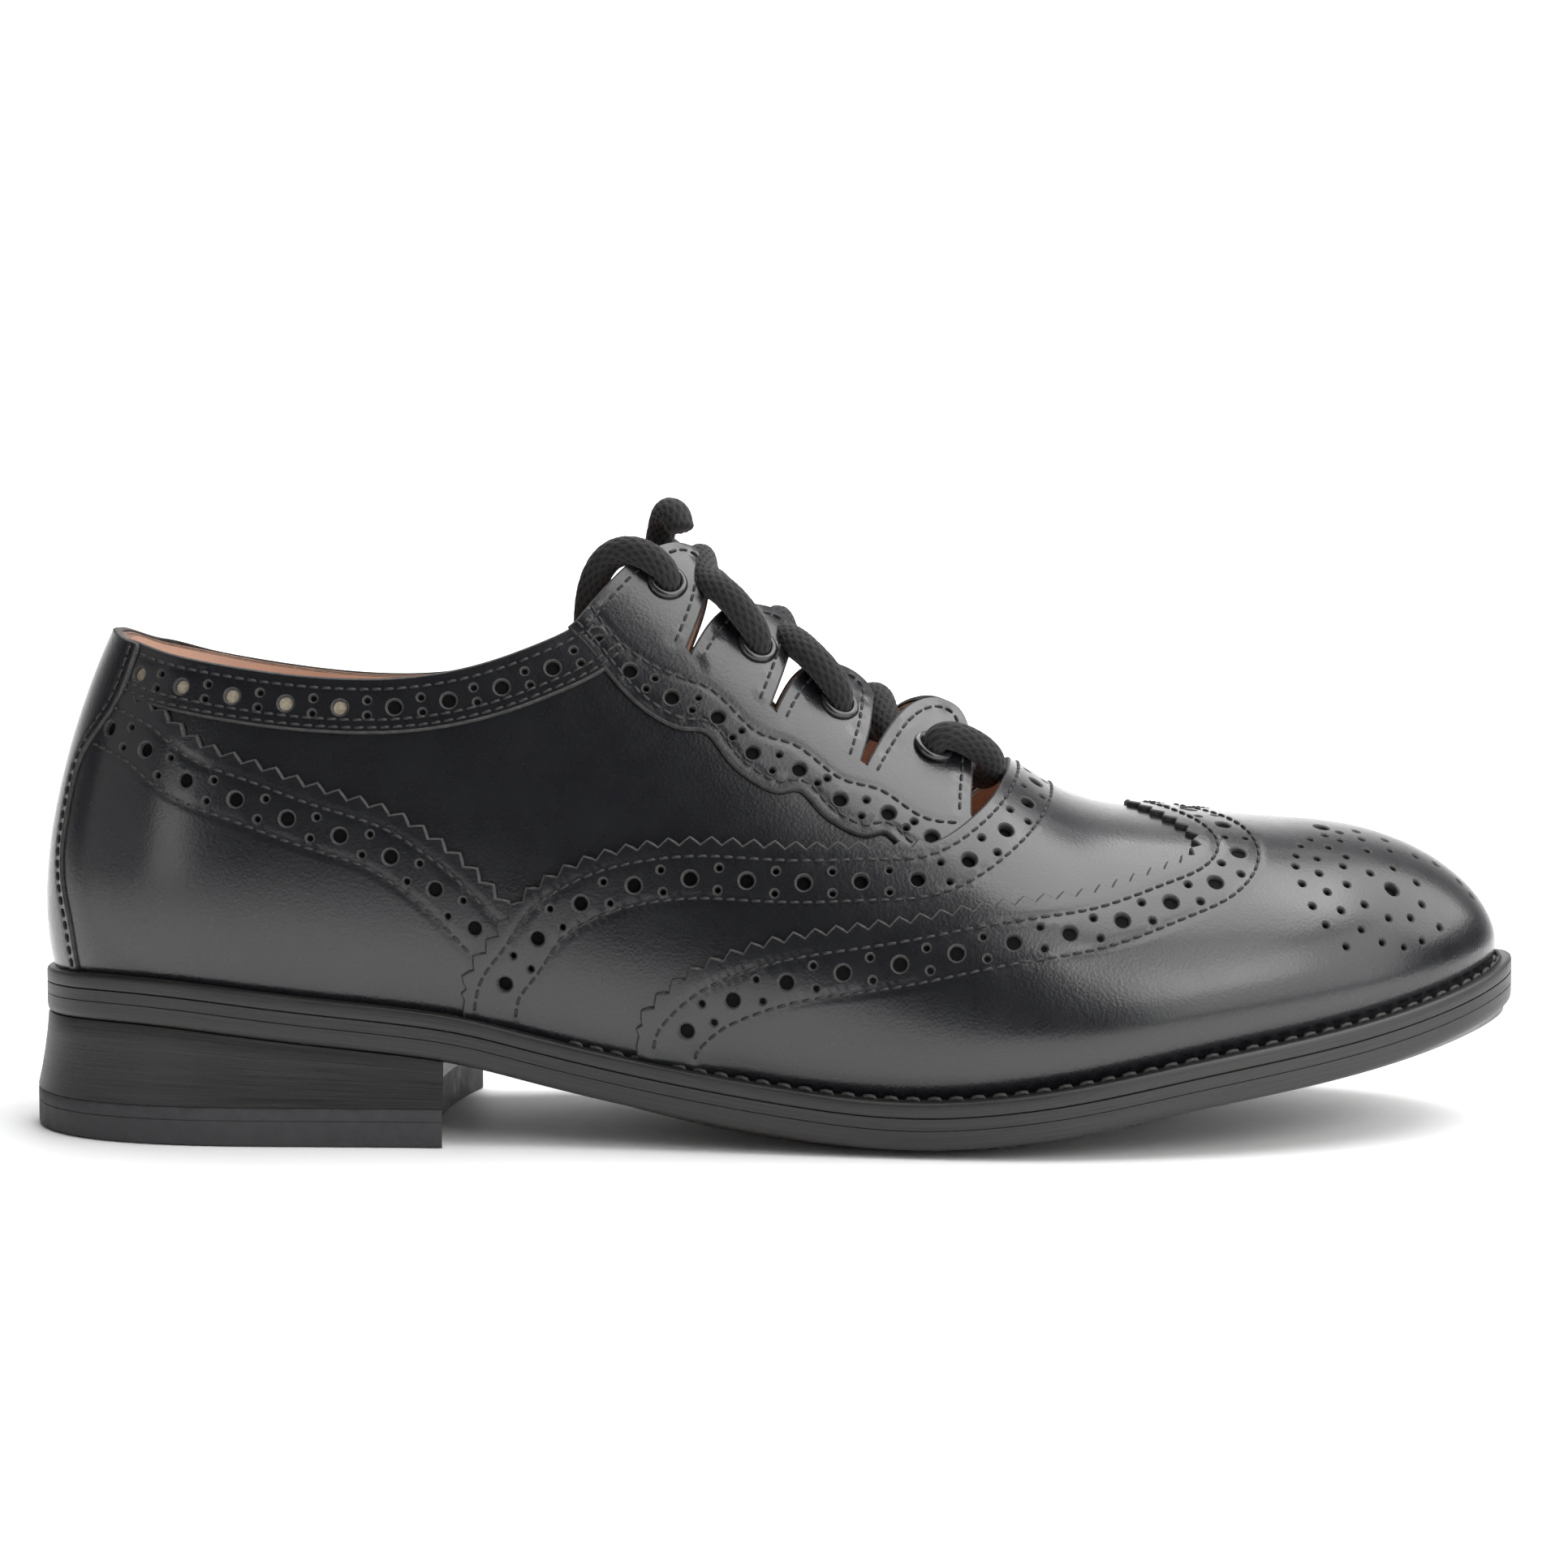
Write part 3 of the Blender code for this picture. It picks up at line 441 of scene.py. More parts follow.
# The facing's holes keep this margin to the stitches, and move by these steps until they do.
HOLE_MARGIN, HOLE_STEP, HOLE_STEPS = 0.6, 0.2, 12
FLOOR_SIDES, FLOOR_OVERLAP, FLOOR_LIFT, FLOOR_THICK = 14, 0.3, 0.12, 0.1
# Saw teeth, stitches with their pressed grooves, and the rows of points beside these.
TOOTH_PITCH, TOOTH_DEPTH, TEETH_FROM, VAMP_TEETH_TO, COUNTER_PITCH = 4.1, 1.6, 3.0, 184.0, 4.4
STITCH_PITCH, STITCH, THREAD, THREAD_SIDES = 2.5, 2.15, 0.6, 6
GROOVE_DEEP, GROOVE_WIDE = 0.13, 0.7
BESIDE_STEP, BESIDE = 1.6, (-2.0, -0.95, 0.95, 2.0)
# Ends of each row of holes left free, mm; then, where they differ, the pitch and how far a pair stands off.
VAMP_HOLES, CAP_HOLES, COUNTER_HOLES = (6.5, 0.0), (5.5, 0.0), (4.0, 3.0)
COLLAR_HOLES, FACING_HOLES = (9.0, 2.0, 10.9, 1.5), (5.0, 5.0, 9.8, 1.9)
# Distance between the points of each panel, and the count of points along its foot.
QUARTERS_MESH, LINING_MESH, WINGED_MESH, COUNTER_MESH, COLLAR_MESH, FACING_MESH, STRIP_MESH = (
    3.0, 3.4, 2.4, 2.6, 2.4, 2.2, 2.2,
)
QUARTERS_STEPS, VAMP_STEPS, CAP_STEPS, COUNTER_STEPS, STRIP_STEPS = 130, 30, 90, 60, 12
# The counter's foot starts a little off the back seam and ends a little under the vamp, in stations.
COUNTER_START, COUNTER_OVER = 0.02, 0.008
SIDES = ((1, "outer"), (-1, "inner"))


def foot_run(start, end, count, height=PANEL_FOOT):
    """A line just above the feather line between two stations, on the pattern."""
    k = np.linspace(start, end, count)
    target = skin(k, np.zeros_like(k), OUTER)[:, 2] + height
    v = halve(np.zeros_like(k), np.ones_like(k), lambda v: skin(k, v, OUTER)[:, 2] < target)
    return lay_flat(k, v)


def whole(half):
    """A line from the outer side to the middle, carried on to the inner side."""
    half = np.array(half)
    half[-1, 1] = 0
    return np.concatenate((half, mirrored(half[-2::-1])))


def opening_half():
    """The shoe's open edge on the outer side from the heel to the middle of the throat."""
    collar = smooth_line(from_side(TOPLINE), 1.2)
    collar[0, 1] = 0
    tabs = [smooth_line(tab, 0.9) for tab in TAB_LINES]
    return np.concatenate([collar[:-1]] + tabs + [smooth_line(THROAT, 1.2)])


def inside_loop(points, loop):
    """Which points lie inside a closed loop."""
    found = np.zeros(len(points), bool)
    ends = np.roll(loop, -1, axis=0)
    for (ax, ay), (bx, by) in zip(loop, ends):
        if ay != by:
            between = (ay > points[:, 1]) != (by > points[:, 1])
            crossing = (bx - ax) * (points[:, 1] - ay) / (by - ay) + ax
            found ^= between & (points[:, 0] < crossing)
    return found


def tree_of(points):
    """A search tree over points in space."""
    tree = kdtree.KDTree(len(points))
    for i, p in enumerate(points):
        tree.insert(p, i)
    tree.balance()
    return tree


def distance_to(tree, points):
    return np.array([tree.find(p)[2] for p in points])


def flat3(points):
    return np.concatenate((points, np.zeros((len(points), 1))), 1)


def within(points, loops):
    """Which points lie inside the first loop and outside the others."""
    found = inside_loop(points, loops[0])
    for hole in loops[1:]:
        found &= ~inside_loop(points, hole)
    return found


def even_points(loop, spacing):
    """Points in even rows over the box round a loop, every second row shifted by half a step."""
    low, high = loop.min(0), loop.max(0)
    rows = []
    for n, y in enumerate(np.arange(low[1], high[1], spacing * 0.866)):
        x = np.arange(low[0] + (n % 2) * spacing / 2, high[0], spacing)
        rows.append(np.stack((x, np.full_like(x, y)), -1))
    return np.concatenate(rows)


def used_only(points, blocks):
    """The points that blocks of faces use, and the blocks with their points counted anew."""
    used = np.unique(np.concatenate([block.ravel() for block in blocks]))
    number = np.full(len(points), -1)
    number[used] = np.arange(len(used))
    return points[used], [number[block] for block in blocks]


def fill(outline, holes, spacing, extra=()):
    """Triangles over an outline less its holes, with even points between."""
    loops = [np.asarray(loop) for loop in (outline, *holes)]
    edge = np.concatenate(loops)
    inner = even_points(loops[0], spacing)
    if len(extra):
        far = distance_to(tree_of(flat3(extra)), flat3(inner)) > spacing * 0.5
        inner = np.concatenate((inner[far], extra))
    inner = inner[distance_to(tree_of(flat3(edge)), flat3(inner)) > min(0.45 * spacing, 0.8)]
    inner = inner[within(inner, loops)]
    edges, first = [], 0
    for loop in loops:
        count = len(loop)
        edges += [(first + i, first + (i + 1) % count) for i in range(count)]
        first += count
    spots = [Vector(p) for p in np.concatenate((edge, inner))]
    made = delaunay_2d_cdt(spots, edges, [], 0, 1e-5)
    points, faces = np.array([tuple(p) for p in made[0]]), np.array(made[2])
    points, blocks = used_only(points, [faces[within(points[faces].mean(1), loops)]])
    return points, blocks[0]


def dense(outline, longest=2.5):
    """An outline with points added along its long straight sides."""
    parts = []
    for start, end in zip(outline, np.roll(outline, -1, 0)):
        count = max(1, math.ceil(np.hypot(*(end - start)) / longest))
        parts.append(start + (end - start) * np.arange(count)[:, None] / count)
    return np.concatenate(parts)


def border(faces):
    """Edges with a face on one side only, in the faces' order."""
    pairs = {(int(f[i - 1]), int(f[i])) for f in faces for i in range(3)}
    return [(a, b) for a, b in pairs if (b, a) not in pairs]


def bent_way(points, way, relief):
    """The way out of the face when relief raises it."""
    step = 0.06
    moves = np.array(((step, 0.0), (0.0, step)))
    rise = [(relief(points + move) - relief(points - move)) / (2 * step) for move in moves]
    grade = np.einsum("nji,nj->ni", np.linalg.pinv(slopes(points)), np.stack(rise, -1))
    return unit(way - grade)


def flat_relief(points):
    return np.zeros(len(points))


def add_mesh(name, points, faces, materials, ways=None, face_material=None, uv=None, smooth=True):
    """A mesh object in metres about the middle of the sole, carried by the shoe."""
    mesh = bpy.data.meshes.new(name)
    places = (np.asarray(points) - MIDDLE) * METRE
    mesh.from_pydata(places.tolist(), [], [tuple(map(int, face)) for face in faces])
    for m in materials:
        mesh.materials.append(m)
    if face_material is not None:
        mesh.polygons.foreach_set("material_index", np.asarray(face_material, np.int32))
    mesh.polygons.foreach_set("use_smooth", np.full(len(mesh.polygons), smooth))
    if uv is not None:
        layer = mesh.uv_layers.new(name="run")
        layer.data.foreach_set("uv", np.asarray(uv, np.float32).ravel())
    mesh.update()
    if ways is not None:
        mesh.normals_split_custom_set(np.asarray(ways).tolist())
    made = bpy.data.objects.new(name, mesh)
    bpy.context.scene.collection.objects.link(made)
    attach(made, "root")
    return made


def rim_ways(rim, way, top):
    """The way out from the cut edge at each point of the rim, and nothing elsewhere."""
    away = np.zeros_like(top)
    for a, b in rim:
        beside = np.cross(way[a] + way[b], top[b] - top[a])
        away[a] += beside
        away[b] += beside
    return away / np.maximum(np.linalg.norm(away, axis=1, keepdims=True), 1e-9)


def panel(name, outline, holes, layer, spacing, materials, relief, extra=(), round_edge=ROUND_EDGE):
    """A closed leather panel over an outline on the pattern, with softly rounded cut edges."""
    points, faces = fill(dense(outline), holes, spacing, extra)
    count = len(points)
    place, way = on_last(points)
    rise = relief(points)
    out = bent_way(points, way, relief)
    under, top = [place + way * (height + rise)[:, None] for height in layer]
    rim = border(faces)
    away = rim_ways(rim, way, top)
    shoulder = top + away * round_edge - way * round_edge
    skirt = under + away * round_edge
    tops, backs = faces[:, ::-1], faces + 3 * count
    bevel = np.array([(a, b, b + count, a + count) for a, b in rim])
    wall, sill = bevel + count, bevel + 2 * count
    ways = [out[tops.ravel()], np.stack((out, away))[(0, 0, 1, 1), bevel % count].reshape(-1, 3)]
    ways += [away[(wall % count).ravel()], -way[(sill % count).ravel()], -way[faces.ravel()]]
    parts = (tops, bevel, wall, sill, backs)
    kinds = np.repeat((0, 1, 1, 1, 0), [len(part) for part in parts])
    points, parts = used_only(np.concatenate((top, shoulder, skirt, under)), parts)
    faces = [face for part in parts for face in part]
    return add_mesh(name, points, faces, materials, np.concatenate(ways), kinds)


def punched(line, at, apart):
    """Big holes at stations along a line, and a small pair square across it between each two."""
    run = true_run(line)
    middles = (at[1:] + at[:-1]) / 2
    between, ahead = at_run(line, run, middles), at_run(line, run, middles + AHEAD)
    place, way = on_last(between)
    left = np.cross(on_last(ahead)[0] - place, way)
    left *= apart / np.linalg.norm(left, axis=1, keepdims=True)
    pairs = np.concatenate((nudged(between, left), nudged(between, -left)))
    return [(p, BIG_HOLE) for p in at_run(line, run, at)] + [(p, SMALL_HOLE) for p in pairs]


def hole_band(line, start, end, pitch=HOLE_PITCH, apart=SMALL_APART):
    """A band of holes along a line, evenly spaced between its ends."""
    length = true_run(line)[-1] - start - end
    return punched(line, start + np.linspace(0, length, int(round(length / pitch)) + 1), apart)


def on_side(holes, side):
    """Holes of the outer side carried to a side."""
    return [(place * (1, side), radius) for place, radius in holes]


def both_halves(holes):
    """Holes with their twins on the inner side, apart from those on the middle line."""
    return holes + on_side([hole for hole in holes if abs(hole[0][1]) > MIDDLE_BAND], -1)


def cut(holes):
    return [ring_at(p, r, BIG_SIDES if r == BIG_HOLE else SMALL_SIDES) for p, r in holes]


def eyelet_holes(side):
    return [ring_at(np.array(spot) * (1, side), EYE_HOLE, BIG_SIDES) for spot in EYELETS]


HOLE_FLOORS = []


def floor_holes(holes, lift, relief=flat_relief, pale=0):
    """Notes the floor seen in each punched hole; the first big ones show pale backing."""
    for n, (place, radius) in enumerate(holes):
        loop = np.concatenate(([place], ring_at(place, radius + FLOOR_OVERLAP, FLOOR_SIDES)))
        HOLE_FLOORS.append((on_last(loop, lift + FLOOR_LIFT + relief(loop))[0], n < pale))


def build_hole_floors():
    """A thin disc under each punched hole, all in one mesh."""
    points, faces, kinds = [], [], []
    for loop, pale in HOLE_FLOORS:
        first, count = len(points), len(loop) - 1
        way = np.cross(loop[3] - loop[0], loop[1] - loop[0])
        way /= np.linalg.norm(way)
        points += list(loop) + list(loop - FLOOR_THICK * way)
        under = count + 1
        for i in range(count):
            a, b = first + 1 + i, first + 1 + (i + 1) % count
            faces += [(first, b, a), (first + under, a + under, b + under), (a, b, b + under, a + under)]
            kinds += [int(pale)] * 3
    made = add_mesh("hole_floors", points, faces, [FLESH, BACKING], None, kinds, None, False)


# A stitch from end to end: share of its length, mm above the leather, radius as a share of the thread.
STITCH_ARCH = ((0.0, -0.22, 0.12), (0.16, 0.1, 0.5), (0.5, 0.2, 0.5), (0.84, 0.1, 0.5), (1.0, -0.22, 0.12))
STITCHES = []


def sew(line, lift, relief):
    """A row of stitches along a line on the pattern, kept for the one mesh of thread."""
    run = true_run(line)
    count = max(int(round(run[-1] / STITCH_PITCH)), 1)
    starts = np.arange(count) * run[-1] / count
    long = STITCH * run[-1] / count / STITCH_PITCH
    rings, ways = [], []
    for share, drop, _ in STITCH_ARCH:
        spots = at_run(line, run, starts + share * long)
        place, way = on_last(spots)
        rings.append(place + way * (lift + drop + relief(spots))[:, None])
        ways.append(way)
    STITCHES.append((rings, ways))


def wall(rows, count, closed=False):
    """Faces between rings of points; closed joins the last ring to the first."""
    faces = []
    for n in range(rows if closed else rows - 1):
        low, high = n * count, (n + 1) % rows * count
        for i in range(count):
            j = (i + 1) % count
            faces.append((low + i, low + j, high + j, high + i))
    return faces


def stitch_faces():
    """Faces of one stitch: its wall and its two ends."""
    last = (len(STITCH_ARCH) - 1) * THREAD_SIDES
    faces = wall(len(STITCH_ARCH), THREAD_SIDES)
    for s in range(1, THREAD_SIDES - 1):
        faces += [(0, s + 1, s), (last, last + s, last + s + 1)]
    return faces


def build_thread(name, stitches, thick, material):
    """Rows of stitches as one mesh of short thread lengths."""
    points, faces, first = [], [], 0
    turn = np.linspace(0, 2 * math.pi, THREAD_SIDES, endpoint=False)
    for rings, ups in stitches:
        ahead = unit(rings[-1] - rings[0])
        for ring, up, (_, _, radius) in zip(rings, ups, STITCH_ARCH):
            beside = unit(np.cross(ahead, up))
            points += [ring + (math.cos(t) * beside + math.sin(t) * up) * thick * radius for t in turn]
        count = len(rings[0])
        each = first + np.arange(count)
        for face in stitch_faces():
            faces += np.stack([each + corner * count for corner in face], -1).tolist()
        first += len(rings) * THREAD_SIDES * count
    return add_mesh(name, np.concatenate(points), faces, [material])


# Curl of the lace tabs: where it starts and over how many mm it grows, less than none where it falls.
CURL_ACROSS, CURL_BACK, CURL_FRONT, CURL_HIGH = (30.0, -24.0), (112.0, 4.0), (193.0, -3.0), 1.2
# The front tab: its back edge, which leans with the way across, and its front.
FRONT_BACK, FRONT_RUN, FRONT_FOOT, FRONT_LEAN = 171.0, 3.0, 33.0, 0.15
FRONT_END, FRONT_HIGH = (196.0, -4.0), 5.0


def ramp(value, start, run):
    """Shares from 0 at the start to 1 after the run."""
    return np.clip((value - start) / run, 0, 1)


def tab_curl(points):
    """How far the lace tabs stand off the last: their ends curl, and the front one is pulled up."""
    along, across = points[:, 0], np.abs(points[:, 1])
    lean = (FRONT_FOOT - across) * FRONT_LEAN
    front = ramp(along - FRONT_BACK, lean, FRONT_RUN) * ramp(along, *FRONT_END)
    tabs = ramp(along, *CURL_BACK) * ramp(along, *CURL_FRONT)
    return tabs * ramp(across, *CURL_ACROSS) ** 2 * (CURL_HIGH + FRONT_HIGH * front)


def groove_relief(lines):
    """Stitch lines pressed a little into the leather."""
    tree = tree_of(np.concatenate([on_last(line)[0] for line in lines]))

    def relief(points):
        away = distance_to(tree, on_last(points)[0])
        return -GROOVE_DEEP * np.exp(-((away / GROOVE_WIDE) ** 2))

    return relief


def edge_raise(edge, height, run):
    """A panel stands higher along its edge, where another lies under it."""
    tree = tree_of(on_last(whole(edge[::2]))[0])

    def relief(points):
        away = distance_to(tree, on_last(points)[0])
        return height * 0.5 * (1 + np.cos(math.pi * np.clip(away / run, 0, 1)))

    return relief


def summed(one, two):
    """Two reliefs in one."""

    def relief(points):
        return one(points) + two(points)

    return relief


def beside(lines):
    """Points along stitch lines and close beside them, to carry the pressed line."""
    made = []
    for line in lines:
        run = true_run(line)
        at = np.arange(BESIDE_STEP / 2, run[-1], BESIDE_STEP)
        for distance in BESIDE:
            moved = offset(line, distance)
            made.append(at_run(moved, true_run(moved), at))
        made.append(at_run(line, run, at))
    return np.concatenate(made)


def build_upper():
    """The quarters, open at collar and throat, and the lining inside them."""
    feet = whole(foot_run(0, 1, QUARTERS_STEPS, QUARTERS_FOOT))
    feet[0, 1] = 0
    feet = feet[:-1]
    holes = [whole(opening_half())[:-1]] + eyelet_holes(1) + eyelet_holes(-1)
    looks = [LEATHER, RAW_EDGE]
    quarters = panel("quarters", feet, holes, QUARTERS_LAYER, QUARTERS_MESH, looks, tab_curl, (),
                     QUARTERS_ROUND)
    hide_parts("upper")
    looks = [LINING, RAW_EDGE]
    lining = panel("lining", feet, holes, LINING_LAYER, LINING_MESH, looks, tab_curl, (), LINING_ROUND)


def add_overlay(name, node, outline, holes, top, spacing, relief, pressed, lines):
    """A leather panel over the quarters with its rows of stitches and extra points along the pressed ones."""
    layer = (OVERLAY_FOOT, top)
    made = panel(name, outline, holes, layer, spacing, [LEATHER, CUT_EDGE], relief, pressed)
    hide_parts(node)
    for line in lines:
        sew(line, top, relief)


def add_winged(name, node, edge, outline, holes, rows, top, raised):
    """An overlay over both sides, pressed along its stitch rows and raised along its edge."""
    lines = [line for row in rows for line in (row, mirrored(row))]
    relief = summed(groove_relief(lines), edge_raise(edge, *raised))
    pressed = beside(rows)
    pressed = np.concatenate((pressed, mirrored(pressed)))
    add_overlay(name, node, outline, cut(holes), top, WINGED_MESH, relief, pressed, lines)


def band(edge, distances, start, end):
    """Stitch rows and holes of a punched band along an edge."""
    first, middle, second = [offset(edge, distance) for distance in distances]
    return [first, second], hole_band(middle, start, end)


def start_of(line):
    """Station of a line's first point, heel 0 to toe 1."""
    return from_flat(line[:1])[0][0]


def build_vamp():
    """The winged panel round the throat, which runs on under the cap."""
    edge = smooth_line(VAMP_EDGE)
    teeth_end = true_run(edge)[np.searchsorted(edge[:, 0], VAMP_TEETH_TO)]
    teeth = pinked(edge, TOOTH_PITCH, TOOTH_DEPTH, TEETH_FROM, teeth_end)
    under = offset(smooth_line(CAP_EDGE), UNDER_CAP)[::6]
    under[-1, 1] = 0
    foot = foot_run(start_of(edge), start_of(under), VAMP_STEPS)
    front = whole(np.concatenate((foot[:-1], under)))
    outline = np.concatenate((whole(teeth), front[::-1]))
    rows, holes = band(edge, VAMP_BAND, *VAMP_HOLES)
    holes = both_halves(holes)
    floor_holes(holes, 0.0)
    add_winged("vamp_panel", "vamp", edge, outline, holes, rows, VAMP_TOP, VAMP_RAISE)


def build_cap():
    """The winged toe cap with its medallion."""
    edge = smooth_line(CAP_EDGE)
    teeth = pinked(edge, TOOTH_PITCH, TOOTH_DEPTH, TEETH_FROM)
    foot = foot_run(start_of(edge), 1, CAP_STEPS)
    outline = np.concatenate((whole(teeth), whole(foot)[::-1]))
    rows, holes = band(edge, CAP_BAND, *CAP_HOLES)
    holes = both_halves(holes)
    floor_holes(holes, VAMP_TOP)
    medallion = both_halves([(np.array(p), SMALL_HOLE) for p in MEDALLION])
    medallion += both_halves([(np.array(p), BIG_HOLE) for p in MEDALLION_BIG])
    floor_holes(medallion, 0.0)
    add_winged("cap_panel", "wing_cap", edge, outline, holes + medallion, rows, CAP_TOP, CAP_RAISE)


def build_counter():
    """The overlay round the heel, one a side."""
    edge = smooth_line(from_side(COUNTER_EDGE))
    teeth = pinked(edge, COUNTER_PITCH, TOOTH_DEPTH)
    foot = foot_run(COUNTER_START, start_of(smooth_line(VAMP_EDGE)) + COUNTER_OVER, COUNTER_STEPS)
    rows, holes = band(edge, COUNTER_BAND, *COUNTER_HOLES)
    for side, word in SIDES:
        outline = np.concatenate((teeth, foot[::-1])) * (1, side)
        lines = [row * (1, side) for row in rows]
        spots = on_side(holes, side)
        floor_holes(spots, 0.0)
        add_overlay(f"counter_panel_{word}", f"counter_{word}", outline, cut(spots), COUNTER_TOP,
                    COUNTER_MESH, groove_relief(lines), beside(lines), lines)


# The collar band, mm from the topline: its rows of stitches, its holes, its upper and its lower edge.
COLLAR_ROWS, COLLAR_HOLE_ROW, COLLAR_EDGE, COLLAR_WIDE = (1.9, 8.0, 9.5), 5.6, 0.1, 10.2
COLLAR_FRONT, PALE_HOLES = (116.0, 103.6), 5


def build_collar():
    """The band along the topline, one a side."""
    top = smooth_line(from_side(TOPLINE[1:] + (COLLAR_FRONT,)))
    low = offset(top, COLLAR_WIDE)
    rows = [offset(top, distance) for distance in COLLAR_ROWS]
    holes = hole_band(offset(top, COLLAR_HOLE_ROW), *COLLAR_HOLES)
    for side, word in SIDES:
        outline = np.concatenate((offset(top, COLLAR_EDGE)[::2], low[::-2])) * (1, side)
        lines = [row * (1, side) for row in rows]
        pressed = lines[:1]
        spots = on_side(holes, side)
        floor_holes(spots, 0.0, flat_relief, PALE_HOLES)
        add_overlay(f"collar_panel_{word}", f"collar_band_{word}", outline, cut(spots), COLLAR_TOP,
                    COLLAR_MESH, groove_relief(pressed), beside(pressed), lines)


def kept_off(spot, radius, rows, middle):
    """A hole's place, moved towards the band's middle until it clears the rows of stitches."""
    for _ in range(HOLE_STEPS):
        if min(np.hypot(*(row - spot).T).min() for row in rows) > radius + HOLE_MARGIN:
            break
        toward = middle[np.hypot(*(middle - spot).T).argmin()] - spot
        spot = spot + toward * HOLE_STEP / max(np.hypot(*toward), HOLE_STEP)
    return spot


def half_way(one, two):
    """The line half way between two lines."""
    share = np.linspace(0, 1, 200)
    one_run, two_run = true_run(one), true_run(two)
    return (at_run(one, one_run, share * one_run[-1]) + at_run(two, two_run, share * two_run[-1])) / 2


# The facing's end at the throat, and its stitches, mm from its edge and from the tabs' edges.
FACING_END, FACING_STITCH, TAB_STITCH = ((191.6, 34.2), (190.4, 38.0)), -1.6, 2.1


def build_facing():
    """The eyelet facing with its four tabs, one a side."""
    low = smooth_line(FACING_EDGE)
    tabs = [smooth_line(tab, 0.8) for tab in TAB_LINES]
    rows = [offset(low, FACING_STITCH), smooth_line(FACING_ROW)]
    middle = half_way(low, rows[1])
    holes = [(kept_off(p, r, rows, middle), r) for p, r in hole_band(middle, *FACING_HOLES)]
    rows += [offset(tab, TAB_STITCH) for tab in tabs]
    for side, word in SIDES:
        outline = np.concatenate((*tabs, FACING_END, low[::-2])) * (1, side)
        lines = [row * (1, side) for row in rows]
        relief = summed(groove_relief(lines), tab_curl)
        spots = on_side(holes, side)
        floor_holes(spots, 0.0, tab_curl)
        openings = cut(spots) + eyelet_holes(side)
        add_overlay(f"facing_panel_{word}", f"facing_{word}", outline, openings, FACING_TOP, FACING_MESH,
                    relief, beside(lines[:2]), lines)


def build_strip():
    """The strip down the back seam."""
    edge = smooth_line(from_side(STRIP_EDGE))
    top = smooth_line(from_side(TOPLINE))
    top = top[top[:, 1] < edge[-1, 1] - 0.5]
    foot = foot_run(0.0, start_of(edge), STRIP_STEPS)
    half = np.concatenate((foot[:-1], edge[::2], top[::-2][:-1], [(top[0, 0], 0.0)]))
    outline = np.concatenate((half, mirrored(half[-2:0:-1])))
    row = offset(edge, STRIP_STITCH)
    lines = [row, mirrored(row)]
    add_overlay("strip_panel", "back_strip", outline, [], STRIP_TOP, STRIP_MESH,
                groove_relief(lines), beside(lines), lines)


# The sole: how far its edge stands out from the feather line, and the thickness of its layers.
SOLE_REACH = ((0.0, 3.4), (60.0, 4.0), (120.0, 4.6), (170.0, 5.6), (230.0, 6.0), (307.0, 5.8))
WELT, SOLE = 3.0, 6.1
SOLE_CROWN, CROWN_FROM, CROWN_TO = 2.0, 92.0, 140.0
HEEL_BREAST, BREAST_HOLLOW, HEEL_FLARE, HEEL_LEAN, LIFT = 88.0, 4.6, 2.0, 0.2, 7.6
BLOCK_LOW, BLOCK_OVER = LIFT + 0.08, 0.1
# The heel's breast: shares of the way across it, and how far it is hollowed there.
BREAST_SHARES = np.linspace(0, 1, 17)[1:-1]
BREAST_BENDS = -BREAST_HOLLOW * 4 * (BREAST_SHARES * (1 - BREAST_SHARES))
CAP_SHARES = (0.1, 0.25, 0.5, 0.75, 0.9)
HEEL_COUNT, EDGE_COUNT = 45, 260
sole_reach = spline(SOLE_REACH)


def level(value):
    """The same value everywhere."""
    return lambda x: np.full_like(np.asarray(x, float), value)


def shifted(curve, change):
    """A curve with a change added to it."""
    return lambda x: curve(x) + change


def edge_loop(place, reach, height):
    """A loop round the sole, reach out from the feather line, at heights set by x."""
    x, y, out_x, out_y = feather(np.asarray(place))
    out = reach(x)
    x, y = x + out_x * out, y + out_y * out
    return np.stack((x, y, height(x)), -1)


def whole_loop(reach, height):
    place = np.linspace(0, 2, EDGE_COUNT, endpoint=False)
    return edge_loop(place, reach, height)


def strip_uv(loops, faces, count):
    """Texture runs: mm along the first loop, mm across the loops."""
    run = run_along(np.concatenate((loops[0], loops[0][:1])))
    steps = [np.linalg.norm(b - a, axis=1).mean() for a, b in zip(loops, loops[1:])]
    rise = np.concatenate(([0.0], np.cumsum(steps)))
    uv = []
    for face in faces:
        ends = [i % count for i in face if i < len(loops) * count]
        seam = bool(ends) and max(ends) - min(ends) > count / 2
        for i in face:
            ring, spot = divmod(i, count)
            if ring >= len(loops):
                uv.append((0.0, 0.0))
            else:
                uv.append((run[count if seam and spot == 0 else spot], rise[ring]))
    return uv


def cap_lines(points, loop, height, across, bends):
    """Lines across a cap from the loop's first half to its second, bent as its breast row is."""
    count, breast = len(loop), len(bends)
    pairs = (count - breast) // 2
    bend_at = dict(zip(across, bends))
    lines = [[loop[0]]]
    for i in range(1, pairs):
        start, end = points[loop[i]], points[loop[count - i]]
        line = [loop[i]]
        for share in across:
            x, y = (start + (end - start) * share)[:2]
            x += bend_at.get(share, 0.0) * (i / pairs) ** 3
            points.append(np.array((x, y, height(x))))
            line.append(len(points) - 1)
        lines.append(line + [loop[count - i]])
    return lines + [loop[pairs : pairs + breast + 2] if breast else [loop[pairs]]]


